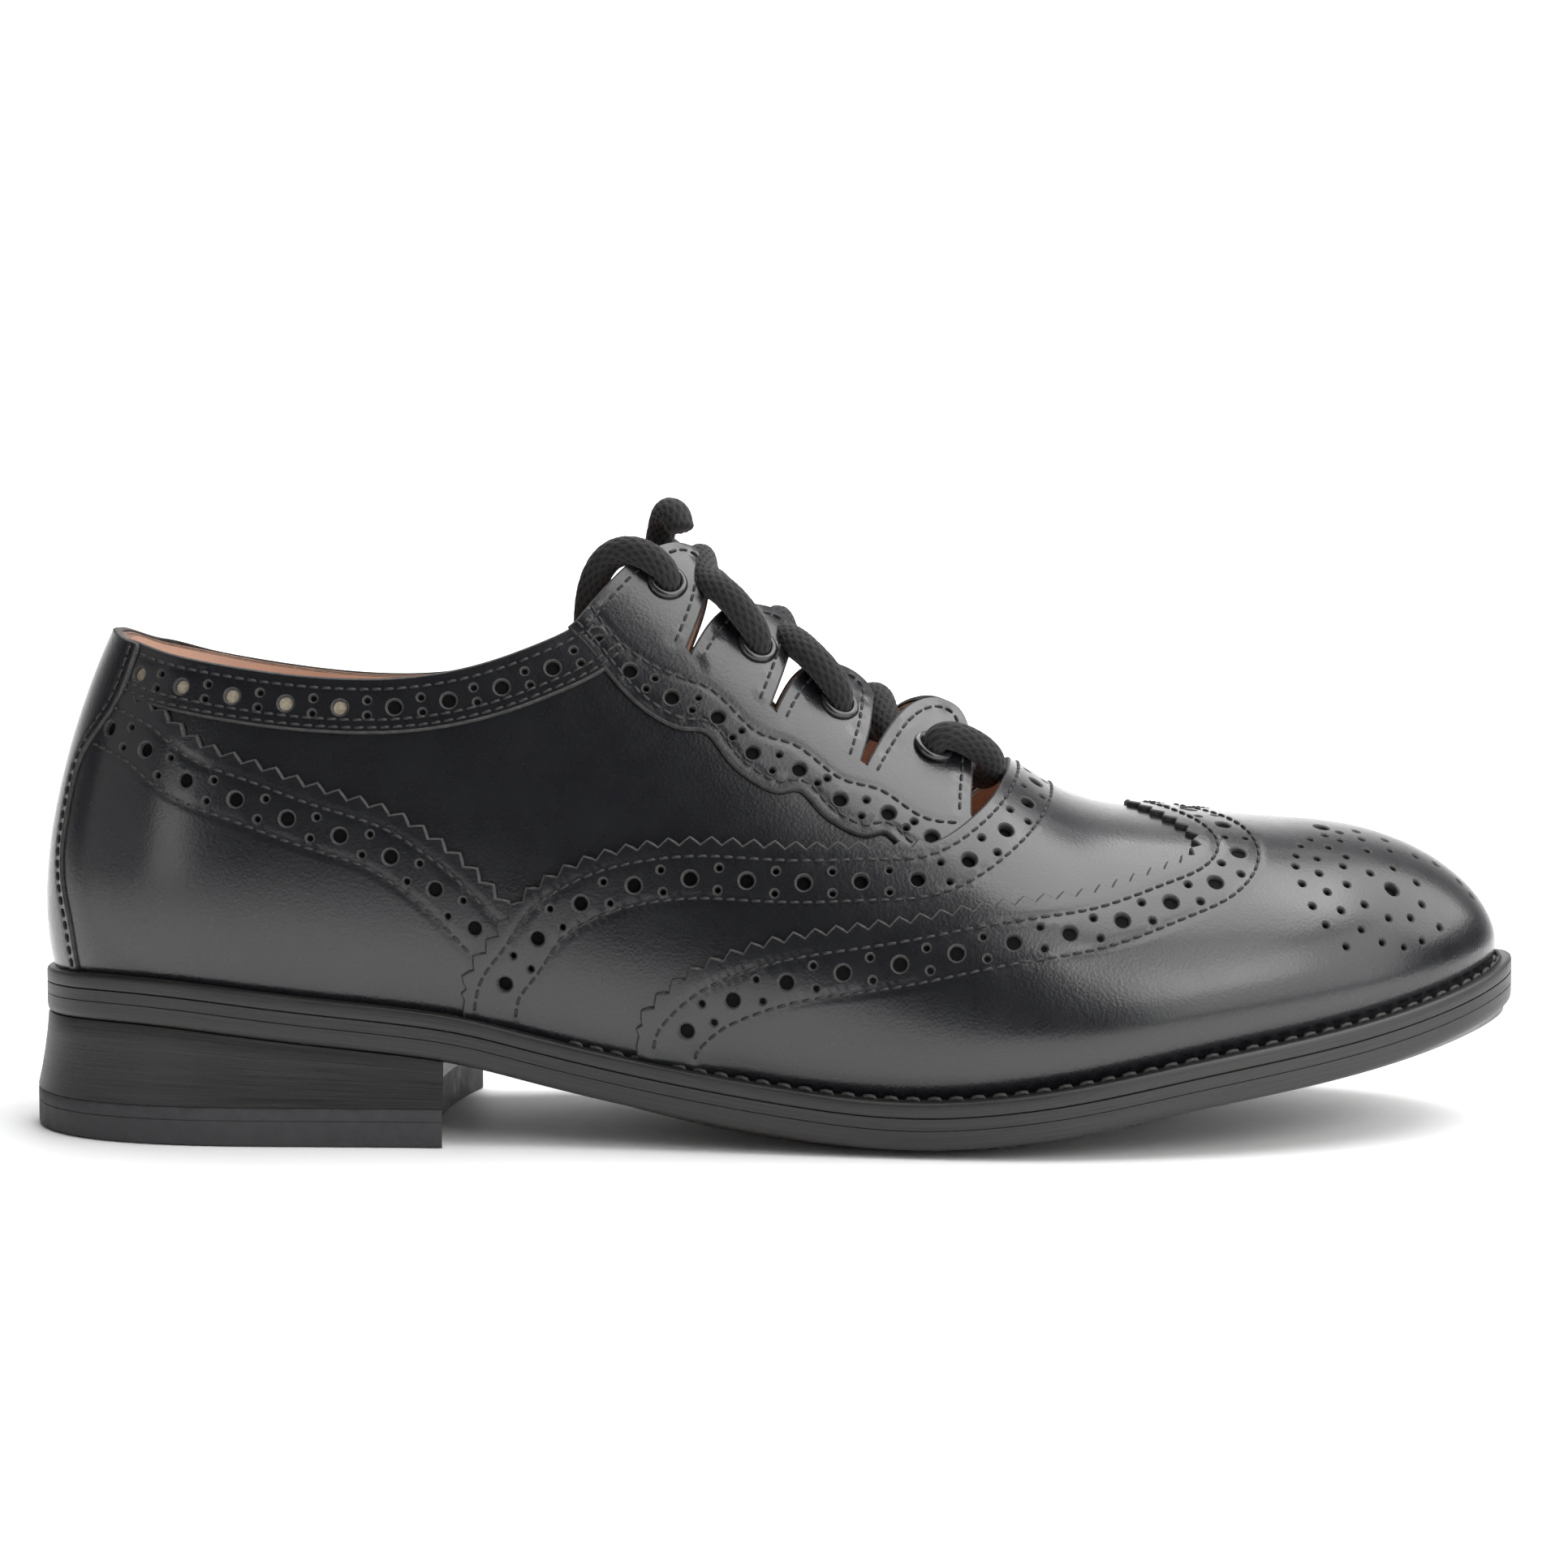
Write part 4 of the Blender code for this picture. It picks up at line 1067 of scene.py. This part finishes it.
def strip_faces(one, two):
    """Faces between two lines of points; the last point of the shorter one serves again."""
    faces = []
    for i in range(max(len(one), len(two)) - 1):
        ring = [one[min(i, len(one) - 1)], two[min(i, len(two) - 1)]]
        ring += [two[min(i + 1, len(two) - 1)], one[min(i + 1, len(one) - 1)]]
        faces.append([p for n, p in enumerate(ring) if p not in ring[:n]])
    return faces


def plate(name, loops, under, over, materials, across=CAP_SHARES, bends=()):
    """A solid through loops from bottom to top, closed by caps whose inner points take these heights.

    The underside wears the last material. The bends are those of a breast row, which ends each loop's front.
    """
    count = len(loops[0])
    points, faces = list(np.concatenate(loops)), wall(len(loops), count)
    kinds = [0] * len(faces)
    for first, height, look in ((0, under, len(materials) - 1), (len(points) - count, over, 0)):
        lines = cap_lines(points, list(range(first, first + count)), height, across, bends)
        cap = [face for one, two in zip(lines, lines[1:]) for face in strip_faces(one, two)]
        faces += cap if first else [face[::-1] for face in cap]
        kinds += [look] * len(cap)
    made = add_mesh(name, points, faces, materials, None, kinds, strip_uv(loops, faces, count))
    soften(made, 40)
    return made


def soften(made, degrees):
    """Sharp edges past an angle, smooth elsewhere."""
    made.data.set_sharp_from_angle(angle=math.radians(degrees))


def sole_under(x):
    return welt_top(x) - WELT - GAP - SOLE


def sole_tread(x):
    """Underside of the sole away from its edge: crowned under the foot, flat on the floor at the ball."""
    crown = SOLE_CROWN * np.clip((x - CROWN_FROM) / (CROWN_TO - CROWN_FROM), 0, 1)
    return np.maximum(sole_under(x) - crown, 0)


# Edge of the sole from the bottom up: height above the underside, and how far it draws in.
SOLE_PROFILE = (
    (0.0, 1.3), (0.35, 0.55), (0.9, 0.12), (1.8, 0.0), (3.85, 0.0), (3.95, 0.16), (4.05, 0.0), (6.2, 0.0),
    (6.35, 0.25),
)
WELT_PROFILE = ((0.0, 0.25), (0.12, 0.05), (0.4, 0.0), (2.1, 0.0), (2.6, 0.12), (2.9, 0.45), (3.0, 1.0))


SOLE_THICK = SOLE_PROFILE[-1][0]
# The welt's inner edge and its step up to the upper, and the sock's edge, thickness and rounding.
WELT_INNER, WELT_STEP, WELT_STEP_HIGH = -4.0, 1.0, 0.05
SOCK_REACH, SOCK_LOW, SOCK, SOCK_ROUND = -2.9, 0.2, 2.4, (0.3, 0.4)


def build_sole():
    loops = [whole_loop(shifted(sole_reach, -draw), shifted(sole_under, high)) for high, draw in SOLE_PROFILE]
    looks = [SOLE_EDGE, SOLE_FACE]
    made = plate("sole_plate", loops, sole_tread, shifted(sole_under, SOLE_THICK), looks)
    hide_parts("outsole")


def welt_under(x):
    return welt_top(x) - WELT


def build_welt():
    """The welt as a closed ring round the foot."""
    ring = [whole_loop(level(WELT_INNER), welt_under)]
    ring += [whole_loop(shifted(sole_reach, -draw), shifted(welt_under, high)) for high, draw in WELT_PROFILE]
    ring.append(whole_loop(level(WELT_STEP), shifted(welt_top, WELT_STEP_HIGH)))
    ring.append(whole_loop(level(WELT_INNER), welt_top))
    faces = wall(len(ring), EDGE_COUNT, True)
    uv = strip_uv(ring, faces, EDGE_COUNT)
    made = add_mesh("welt_strip", np.concatenate(ring), faces, [SOLE_EDGE], None, None, uv)
    soften(made, 50)
    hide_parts("welt")


def sock_top(x):
    return welt_top(x) + GAP + SOCK


def build_sock():
    """The insole as it is seen inside the shoe."""
    drop, draw = SOCK_ROUND
    low = shifted(welt_top, SOCK_LOW)
    loops = [whole_loop(level(SOCK_REACH), low), whole_loop(level(SOCK_REACH), shifted(sock_top, -drop))]
    loops.append(whole_loop(level(SOCK_REACH - draw), sock_top))
    made = plate("sock", loops, low, sock_top, [LINING])
    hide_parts("insole")


WELT_STITCH, WELT_STITCH_PITCH, WELT_THREAD, WELT_ROW = 3.3, 4.2, 1.0, 2.6
WELT_ROW_FROM, WELT_ARCH, WELT_STITCH_LIFT = 112.0, 1.6, 0.1


def build_welt_stitches():
    """The row of thick stitches along the top of the welt, round the forefoot."""
    place = np.linspace(0, 2, 1600)
    line = edge_loop(place, shifted(sole_reach, -WELT_ROW), welt_top)
    line = line[feather_x(place) > WELT_ROW_FROM]
    run = run_along(line)
    starts = np.arange(0, run[-1] - WELT_STITCH, WELT_STITCH_PITCH)
    up = np.broadcast_to((0.0, 0.0, 1.0), (len(starts), 3))
    rings = []
    for share, lift, _ in STITCH_ARCH:
        spots = at_run(line, run, starts + share * WELT_STITCH)
        rings.append(spots + up * (lift * WELT_ARCH + WELT_STITCH_LIFT))
    made = build_thread("welt_stitching", [(rings, [up] * len(rings))], WELT_THREAD, WELT_THREAD_LOOK)


def heel_loop(reach, height):
    """A loop round the heel, closed by its hollow breast."""
    end = halve(np.zeros(1), np.full(1, 0.6), lambda k: feather_x(k) < HEEL_BREAST)[0]
    outer = edge_loop(np.linspace(0, end, HEEL_COUNT), reach, height)
    inner = edge_loop(2 - np.linspace(end, 0, HEEL_COUNT)[:-1], reach, height)
    share = BREAST_SHARES[:, None]
    breast = outer[-1] * (1 - share) + inner[0] * share
    breast[:, 0] += BREAST_BENDS
    breast[:, 2] = height(breast[:, 0])
    return np.concatenate((outer, breast, inner))


# Rows of the heel block from the bottom up: share of its height, mm added to that, how far it draws in.
HEEL_ROWS = (
    (0.0, 0.0, 0.2), (0.0, 0.3, 0.0), (0.25, 0.0, 0.0), (0.5, 0.0, 0.0), (0.75, 0.0, 0.0), (1.0, -0.3, 0.0),
    (1.0, 0.0, 0.2),
)
# Rows of the lift from the floor up: height, and how far it draws in.
LIFT_ROWS = (
    (0.0, 0.5), (0.3, 0.15), (0.8, 0.0), (4.9, 0.0), (5.05, 0.14), (5.2, 0.0), (7.2, 0.0), (LIFT, 0.3),
)


def block_top(x):
    return sole_under(x) + BLOCK_OVER


def block_height(share, shift):
    """Height of a row of the heel block, between the lift and the sole."""
    return lambda x: BLOCK_LOW + (block_top(x) - BLOCK_LOW) * share + shift


def build_heel():
    """The heel block and its lift."""
    loops = []
    for share, shift, draw in HEEL_ROWS:
        flare = HEEL_FLARE * (1 - share) ** 1.5 - HEEL_LEAN * share - draw
        loops.append(heel_loop(shifted(sole_reach, flare), block_height(share, shift)))
    made = plate("heel_block", loops, level(BLOCK_LOW), block_top, [SOLE_EDGE], BREAST_SHARES, BREAST_BENDS)
    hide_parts("heel_stack")
    loops = [heel_loop(shifted(sole_reach, HEEL_FLARE - draw), level(high)) for high, draw in LIFT_ROWS]
    made = plate("heel_lift", loops, level(0.0), level(LIFT), [RUBBER], BREAST_SHARES, BREAST_BENDS)
    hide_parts("top_lift")


# An eyelet's section: distance from its middle, and height above the facing.
EYELET_PROFILE = (
    (2.75, -1.4), (2.6, -0.4), (2.65, 0.35), (2.95, 0.75), (3.5, 0.85), (4.0, 0.6), (4.25, 0.1), (4.2, -0.3),
)
EYELET_SIDES = 36


def turned_ring(centre, way, profile, sides):
    """Points and faces of a ring turned about a way."""
    one = unit(np.cross(way, (1.0, 0.0, 0.0)))
    two = np.cross(way, one)
    points = []
    for radius, high in profile:
        for t in np.linspace(0, 2 * math.pi, sides, endpoint=False):
            points.append(centre + radius * (math.cos(t) * one + math.sin(t) * two) + high * way)
    return points, [face[::-1] for face in wall(len(profile), sides, True)]


def build_eyelets():
    for side, word in SIDES:
        for number, spot in enumerate(EYELETS):
            spot = np.array([spot]) * (1, side)
            place, way = on_last(spot)
            lift = FACING_TOP + tab_curl(spot)[0]
            points, faces = turned_ring(place[0] + way[0] * lift, way[0], EYELET_PROFILE, EYELET_SIDES)
            made = add_mesh(f"eyelet_ring_{word}_{number + 1}", points, faces, [ENAMEL])
            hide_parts(f"eyelet_{word}_{number + 1}")


# The lace: its braid, the steps along and round it, and how it is pinched near an eyelet and at its ends.
LACE, BRAID_STRANDS, BRAID_PITCH, BRAID_DEEP, BRAID_LOW = 6.1, 12, 2.9, 0.5, 0.8
CORD_SIDES, CORD_STEP, PATH_FINE, CORD_START = 48, 0.42, 40, (0.3, 1.0, 0.2)
PINCH, PINCH_RUN, PINCH_LIFT, CORD_END = 0.82, 4.0, 0.5, 0.84
# Free ends over the collar, in space; the inner one starts on its tab.
OUTER_END = ((124.4, -14.6, 117.0), (119.0, -12.0, 115.6), (115.6, -9.5, 109.5), (114.6, -7.0, 101.0))
INNER_START = (129.2, -14.0, 4.2)
INNER_END = (
    (128.6, 9.0, 117.6), (129.3, 5.6, 122.8), (130.6, 2.0, 125.4), (132.4, -1.2, 124.6), (133.2, -2.6, 121.6),
)


def spot(along, across, lift):
    """A place in space over the pattern, above the curled tabs."""
    point = np.array([(along, across)], float)
    return on_last(point, lift + tab_curl(point)[0])[0][0]


def eye(number, side, lift):
    along, across = EYELETS[number]
    return spot(along, across * side, lift)


def smooth_path(points):
    """A smooth path through places in space, evenly spaced."""
    curve, length = curve_through(points)
    fine = curve(np.linspace(0, length, PATH_FINE * len(points)))
    run = run_along(fine)
    return at_run(fine, run, np.linspace(0, run[-1], int(run[-1] / CORD_STEP) + 1))


def cord_mesh(path):
    """A braided cord along a path, pinched where it passes the eyelets, and how far its strands stand out,
    which later sets painted shade in its grooves.
    """
    ways, run = unit(np.gradient(path, axis=0)), run_along(path)
    turn = np.linspace(0, 2 * math.pi, CORD_SIDES, endpoint=False)
    strands = BRAID_STRANDS / 2 * turn
    eyes = np.array([eye(n, side, PINCH_LIFT) for n in range(len(EYELETS)) for side in (1, -1)])
    one, last = np.cross(ways[0], CORD_START), len(path) - 1
    points, heights = [], []
    for n, (centre, way) in enumerate(zip(path, ways)):
        one = unit(one - way * np.dot(one, way))
        two = np.cross(way, one)
        lay = math.pi * run[n] / BRAID_PITCH
        braid = np.maximum(np.abs(np.sin(strands + lay)), np.abs(np.sin(strands - lay))) - BRAID_LOW
        near = np.linalg.norm(eyes - centre, axis=1).min() / PINCH_RUN
        close = (1 - (1 - PINCH) * math.exp(-near**2)) * (CORD_END if n in (0, last) else 1.0)
        radius = (LACE / 2 - 0.2 * BRAID_DEEP) * close + BRAID_DEEP * braid
        points.append(centre + radius[:, None] * (np.cos(turn)[:, None] * one + np.sin(turn)[:, None] * two))
        # Strand heights, kept to paint shade into the braid's grooves.
        heights.append(braid)
    faces = wall(len(path), CORD_SIDES)
    faces.append(tuple(range(CORD_SIDES))[::-1])
    faces.append(tuple(range(last * CORD_SIDES, len(path) * CORD_SIDES)))
    return np.concatenate(points), faces, np.concatenate(heights)


def add_lace(name, node, paths):
    """A stretch of lace along paths as one piece, which keeps its braid's heights for painted shade in the
    braid's grooves.
    """
    points, faces, heights = [], [], []
    for path in paths:
        some, sides, high = cord_mesh(path)
        faces += [[len(points) + corner for corner in face] for face in sides]
        points += list(some)
        heights += list(high)
    made = add_mesh(name, points, faces, [COTTON])
    # The braid attribute carries the strand heights that paint shade into the grooves.
    layer = made.data.attributes.new("braid", "FLOAT", "POINT")
    layer.data.foreach_set("value", np.asarray(heights, np.float32))
    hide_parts(node)
    return made


# Places of the lace over a tab: mm back from its eyelet, mm in towards the middle, and height.
TAB_CROSSING = ((3.4, 1.2, 4.6), (7.8, 4.0, 4.2), (10.4, 9.0, 0.6))


def over_tab(number, side):
    """The lace out of an eyelet, over the back edge of its tab and down into the notch."""
    along, across = EYELETS[number]
    stops = [eye(number, side, -3.4), eye(number, side, 1.6)]
    for back, inward, lift in TAB_CROSSING:
        stops.append(spot(along - back, (across - inward) * side, lift))
    return stops


def strand(side, deep):
    """One half of the lace from the bar to its last crossing, changing sides at each crossing."""
    stops = [spot(197.0, 0.0, -4.0), spot(197.4, 8.0 * side, -2.4), spot(195.6, 14.0 * side, 2.0)]
    stops += [spot(191.4, 17.0 * side, 4.0), eye(3, side, 3.4), eye(3, side, -1.5)]
    stops += [spot(179.0, 14.0 * side, -6.5), spot(174.0, 0.0, -6.0 + deep)]
    stops += [spot(169.0, -14.0 * side, -6.6)] + over_tab(2, -side)
    stops += [spot(153.5, 0.0, -5.0 + deep), spot(151.6, 14.0 * side, -6.6)] + over_tab(1, side)
    return stops + [spot(137.0, 0.0, -5.0 + deep)]


def tail(side, stops):
    """A free end from the last crossing, through the top eyelet and on over its own stops."""
    return [spot(133.8, 12.5 * side, -6.6), eye(0, side, -3.4), eye(0, side, 1.6)] + stops


def build_lace():
    """The lace in one piece up to its last crossing, and its two free ends as cords."""
    inner = tail(-1, [spot(*INNER_START)] + [np.array(p) for p in INNER_END])
    outer = tail(1, [np.array(p) for p in OUTER_END])
    laid = []
    for side, word, deep, end in ((1, "inner", 3.2, inner), (-1, "outer", -3.2, outer)):
        stops = strand(side, deep)
        path = smooth_path(stops + end)
        parting = int(np.linalg.norm(path - stops[-1], axis=1).argmin())
        laid.append(path[: parting + 1])
        made = add_lace(f"lace_tail_{word}", f"lace_end_{word}", [path[parting:]])
    add_lace("lace_cord", "lace", laid)


# Materials.
def set_inputs(tree, node, inputs):
    """Sets a node's sockets to values or links them to outputs; low lines in names stand for spaces."""
    for name, value in inputs.items():
        socket = node.inputs[name.replace("_", " ")]
        if isinstance(value, bpy.types.NodeSocket):
            tree.links.new(value, socket)
        elif value is not None:
            socket.default_value = value


def add_node(tree, kind, output, **inputs):
    """One output of a new node with these inputs."""
    made = tree.nodes.new(kind)
    set_inputs(tree, made, inputs)
    return made.outputs[output]


def new_material(name):
    """A material, its nodes, and the place on the part that its textures follow."""
    made = bpy.data.materials.new(name)
    made.use_nodes = True
    return made, made.node_tree, add_node(made.node_tree, "ShaderNodeTexCoord", "Object")


def dress(tree, **inputs):
    set_inputs(tree, tree.nodes["Principled BSDF"], inputs)


def noise(tree, place, scale, detail=2.0, rough=0.5):
    sizes = {"Scale": scale, "Detail": detail, "Roughness": rough}
    return add_node(tree, "ShaderNodeTexNoise", "Fac", Vector=place, **sizes)


def ranged(tree, value, low, high, start=0.3, end=0.7):
    limits = {"From_Min": start, "From_Max": end, "To_Min": low, "To_Max": high}
    return add_node(tree, "ShaderNodeMapRange", "Result", Value=value, **limits)


def coloured(tree, value, colours):
    """Colours spread over a value."""
    made = tree.nodes.new("ShaderNodeValToRGB")
    ramp = made.color_ramp
    for n, (at, colour) in enumerate(colours):
        stop = ramp.elements[n] if n < 2 else ramp.elements.new(at)
        stop.position = at
        stop.color = (*colour, 1.0)
    tree.links.new(value, made.inputs["Fac"])
    return made.outputs["Color"]


def bumped(tree, height, strength, distance, before=None):
    sizes = {"Strength": strength, "Distance": distance}
    return add_node(tree, "ShaderNodeBump", "Normal", Height=height, Normal=before, **sizes)


def plain_look(name, tone, shades, rough, bumps, **inputs):
    """A look whose colour follows one noise, and its roughness too if that is a range.

    A bump is its noise, or None for the colour's own, its strength and its distance.
    """
    made, tree, place = new_material(name)
    spread = noise(tree, place, *tone)
    relief = None
    for grain, strength, distance in bumps:
        height = noise(tree, place, *grain) if grain else spread
        relief = bumped(tree, height, strength, distance, relief)
    if isinstance(rough, tuple):
        rough = ranged(tree, spread, *rough)
    dress(tree, Base_Color=coloured(tree, spread, shades), Roughness=rough, Normal=relief, **inputs)
    return made


def leather_look(name, dark, light, smooth, rough):
    """Polished calf: near black, with a fine grain and a wavering polish."""
    made, tree, place = new_material(name)
    tone = coloured(tree, noise(tree, place, 55.0, 3.0), ((0.3, dark), (0.75, light)))
    polish = ranged(tree, noise(tree, place, 150.0, 4.0, 0.6), smooth, rough)
    cells = add_node(tree, "ShaderNodeTexVoronoi", "Distance", Vector=place, Scale=1500.0)
    grain = bumped(tree, cells, 0.09, 0.0003)
    fine = bumped(tree, noise(tree, place, 2600.0, 2.0), 0.07, 0.0002, grain)
    wave = bumped(tree, noise(tree, place, 42.0, 0.0), 0.1, 0.0011, fine)
    dress(tree, Base_Color=tone, Roughness=polish, Normal=wave, Coat_Weight=0.35, Coat_Roughness=0.17)
    return made


def cut_look(name, dark, light, shine=0.5):
    """Raw or dyed cut edge of leather: matt and fibrous."""
    shades, fibres = ((0.3, dark), (0.7, light)), ((2200.0, 3.0), 0.4, 0.0003)
    return plain_look(name, (700.0, 4.0, 0.7), shades, 0.75, (fibres,), Specular_IOR_Level=shine)


def lining_look():
    """Natural lining leather: pinkish tan, matt, with soft blotches and pores."""
    shades = ((0.25, (0.58, 0.37, 0.27)), (0.75, (0.74, 0.52, 0.41)))
    bumps = (((1500.0, 3.0, 0.7), 0.25, 0.0002), ((90.0, 3.0), 0.3, 0.0008))
    return plain_look("lining", (38.0, 5.0, 0.6), shades, (0.5, 0.7), bumps)


def edge_look(name, dark, light, smooth, rough, streak):
    """Inked sole edge: fine streaks along its run."""
    made, tree, place = new_material(name)
    run = tree.nodes.new("ShaderNodeUVMap")
    run.uv_map = "run"
    stretch = add_node(tree, "ShaderNodeMapping", "Vector", Vector=run.outputs["UV"], Scale=(0.02, 1.3, 1.0))
    streaks = noise(tree, stretch, 1.6, 5.0, 0.7)
    tone = coloured(tree, streaks, ((0.3, dark), (0.72, light)))
    grain = bumped(tree, noise(tree, place, 1600.0, 3.0), 0.15, 0.0002)
    polish, relief = ranged(tree, streaks, smooth, rough), bumped(tree, streaks, streak, 0.0004, grain)
    dress(tree, Base_Color=tone, Roughness=polish, Normal=relief)
    return made


def tread_look():
    """Underside of the leather sole: dark stain, worn a little lighter in blotches."""
    shades = ((0.3, (0.02, 0.016, 0.013)), (0.75, (0.05, 0.038, 0.03)))
    return plain_look("sole_face", (45.0, 5.0, 0.65), shades, (0.4, 0.6), (((900.0, 3.0), 0.2, 0.0003),))


def rubber_look():
    shades = ((0.3, (0.022, 0.022, 0.024)), (0.75, (0.045, 0.045, 0.048)))
    return plain_look("rubber", (300.0, 4.0, 0.65), shades, (0.55, 0.8), (((1800.0, 3.0), 0.3, 0.0003),))


def thread_look(name, dark, light):
    return plain_look(name, (2500.0, 2.0), ((0.3, dark), (0.7, light)), 0.6, ((None, 0.5, 0.0002),))


def cotton_look():
    """Charcoal cotton: soft, with fine fibres and a little sheen, and painted shade that darkens its colour
    down in the braid's grooves.
    """
    made, tree, place = new_material("cotton")
    tone = noise(tree, place, 1300.0, 3.0, 0.7)
    # Painted shade: the colour is scaled by the braid's strand heights, so it darkens down in the grooves
    # between strands.
    strands = tree.nodes.new("ShaderNodeAttribute")
    strands.attribute_name = "braid"
    tone_with_braid_shade = tree.nodes.new("ShaderNodeMath")
    tone_with_braid_shade.operation = "MULTIPLY"
    tree.links.new(ranged(tree, strands.outputs["Fac"], 0.0, 0.8, -0.3, 0.2), tone_with_braid_shade.inputs[0])
    tree.links.new(tone, tone_with_braid_shade.inputs[1])
    shades = ((0.05, (0.0025, 0.0025, 0.003)), (0.55, (0.022, 0.022, 0.024)))
    colour, relief = coloured(tree, tone_with_braid_shade.outputs["Value"], shades), bumped(tree, tone, 0.6, 0.0004)
    dress(tree, Base_Color=colour, Roughness=0.9, Normal=relief, Sheen_Weight=0.08, Sheen_Roughness=0.5)
    return made


def enamel_look():
    """Black enamelled metal with faint wear."""
    shades = ((0.4, (0.008, 0.008, 0.009)), (0.8, (0.03, 0.03, 0.032)))
    bumps = ((None, 0.08, 0.0003),)
    return plain_look("enamel", (420.0, 4.0, 0.6), shades, (0.18, 0.34), bumps, Coat_Weight=0.3)


# The studio.
CAMERA_X, CAMERA_BACK, CAMERA_HIGH, CAMERA_DOWN, CAMERA_LENS = 154.6, 587.0, 104.0, 3.39, 65.1


def build_camera():
    lens = bpy.data.cameras.new("camera")
    lens.lens, lens.sensor_width = CAMERA_LENS, 36.0
    lens.clip_start, lens.clip_end = 0.01, 50.0
    camera = bpy.data.objects.new("camera", lens)
    camera.location = (np.array((CAMERA_X, -CAMERA_BACK, CAMERA_HIGH)) - MIDDLE) * METRE
    camera.rotation_euler = (math.radians(90 - CAMERA_DOWN), 0, 0)
    bpy.context.scene.collection.objects.link(camera)
    bpy.context.scene.camera = camera


# Soft boxes: name, place, what it is turned to, size, all in metres, and power.
LIGHTS = (
    ("above", (0.2, 0.08, 1.05), (0.1, 0.0, 0.0), (1.6, 0.85), 19.0),
    ("top_right", (1.0, 0.15, 0.8), (0.1, 0.0, 0.04), (0.7, 0.9), 6.0),
    ("right", (0.9, -0.75, 0.5), (0.05, 0.0, 0.06), (1.2, 0.85), 7.5),
    ("front_right", (0.6, -0.8, 0.75), (0.0, 0.0, 0.06), (0.7, 0.5), 3.2),
    ("reflector", (0.0, -0.155, 0.003), (0.0, -0.155, 1.0), (1.9, 0.19), 0.45),
    ("front_left", (-0.85, -0.95, 0.16), (0.0, 0.0, 0.06), (0.3, 0.4), 0.85),
    ("left", (-1.1, -0.3, 0.35), (0.0, 0.0, 0.05), (0.8, 0.6), 0.6),
    ("backdrop", (0.0, 0.9, 1.6), (0.0, 2.5, 0.6), (2.5, 0.8), 70.0),
)
# The floor: half its width, its ends, the radius of its curve and how far it lies below the shoe.
FLOOR_WIDE, FLOOR_FRONT, FLOOR_BACK, FLOOR_CURVE, FLOOR_TOP, FLOOR_DROP = 6.0, -6.0, 1.2, 1.5, 5.0, 0.0001


def add_light(name, place, aim, size, power):
    """A soft box at a place, turned to what it lights."""
    lamp = bpy.data.lights.new(name, "AREA")
    lamp.shape, lamp.size, lamp.size_y, lamp.energy = "RECTANGLE", size[0], size[1], power
    made = bpy.data.objects.new(name, lamp)
    made.location = place
    made.visible_camera = False
    made.rotation_euler = (Vector(aim) - Vector(place)).to_track_quat("-Z", "Y").to_euler()
    bpy.context.scene.collection.objects.link(made)


def build_floor():
    """A pale floor that curves up behind."""
    profile = [(FLOOR_FRONT, 0.0), (FLOOR_BACK, 0.0)]
    for t in np.linspace(0.1, math.pi / 2, 14):
        profile.append((FLOOR_BACK + FLOOR_CURVE * math.sin(t), FLOOR_CURVE - FLOOR_CURVE * math.cos(t)))
    profile.append((FLOOR_BACK + FLOOR_CURVE, FLOOR_TOP))
    points = [(x, y, z - FLOOR_DROP) for y, z in profile for x in (-FLOOR_WIDE, FLOOR_WIDE)]
    mesh = bpy.data.meshes.new("floor")
    mesh.from_pydata(points, [], [(2 * i, 2 * i + 1, 2 * i + 3, 2 * i + 2) for i in range(len(profile) - 1)])
    mesh.polygons.foreach_set("use_smooth", np.full(len(mesh.polygons), True))
    shades = ((0.3, (0.93, 0.93, 0.93)), (0.7, (0.95, 0.95, 0.95)))
    mesh.materials.append(plain_look("floor", (3.0, 2.0), shades, 0.6, ()))
    made = bpy.data.objects.new("floor", mesh)
    bpy.context.scene.collection.objects.link(made)


def build_studio():
    """A floor, a faint sky, and soft boxes above, in front and behind."""
    scene = bpy.context.scene
    scene.view_settings.view_transform = "Standard"
    world = bpy.data.worlds.new("studio")
    world.use_nodes = True
    sky = world.node_tree.nodes["Background"]
    sky.inputs["Color"].default_value = (0.9, 0.92, 1.0, 1.0)
    sky.inputs["Strength"].default_value = 0.06
    scene.world = world
    build_floor()
    for light in LIGHTS:
        add_light(*light)


LEATHER = leather_look("calf", (0.0052, 0.0054, 0.0066), (0.0072, 0.0074, 0.0092), 0.25, 0.31)
CUT_EDGE = cut_look("cut_edge", (0.02, 0.0195, 0.019), (0.055, 0.053, 0.051))
RAW_EDGE = cut_look("raw_edge", (0.075, 0.035, 0.018), (0.18, 0.095, 0.055))
FLESH = cut_look("flesh", (0.0015, 0.0015, 0.0015), (0.004, 0.004, 0.004), 0.1)
BACKING = cut_look("backing", (0.2, 0.17, 0.12), (0.42, 0.37, 0.28), 0.3)
LINING = lining_look()
SOLE_EDGE = edge_look("sole_edge", (0.004, 0.0039, 0.0038), (0.026, 0.024, 0.023), 0.38, 0.5, 0.16)
SOLE_FACE = tread_look()
RUBBER = rubber_look()
THREAD_LOOK = thread_look("thread", (0.006, 0.006, 0.006), (0.018, 0.018, 0.018))
WELT_THREAD_LOOK = thread_look("welt_thread", (0.012, 0.011, 0.01), (0.035, 0.032, 0.03))
COTTON = cotton_look()
ENAMEL = enamel_look()
build_camera()
build_studio()
build_lace()
build_upper()
build_counter()
build_collar()
build_facing()
build_vamp()
build_cap()
build_strip()
build_sole()
build_welt()
build_sock()
build_heel()
build_eyelets()
build_welt_stitches()
build_thread("stitching", STITCHES, THREAD, THREAD_LOOK)
build_hole_floors()
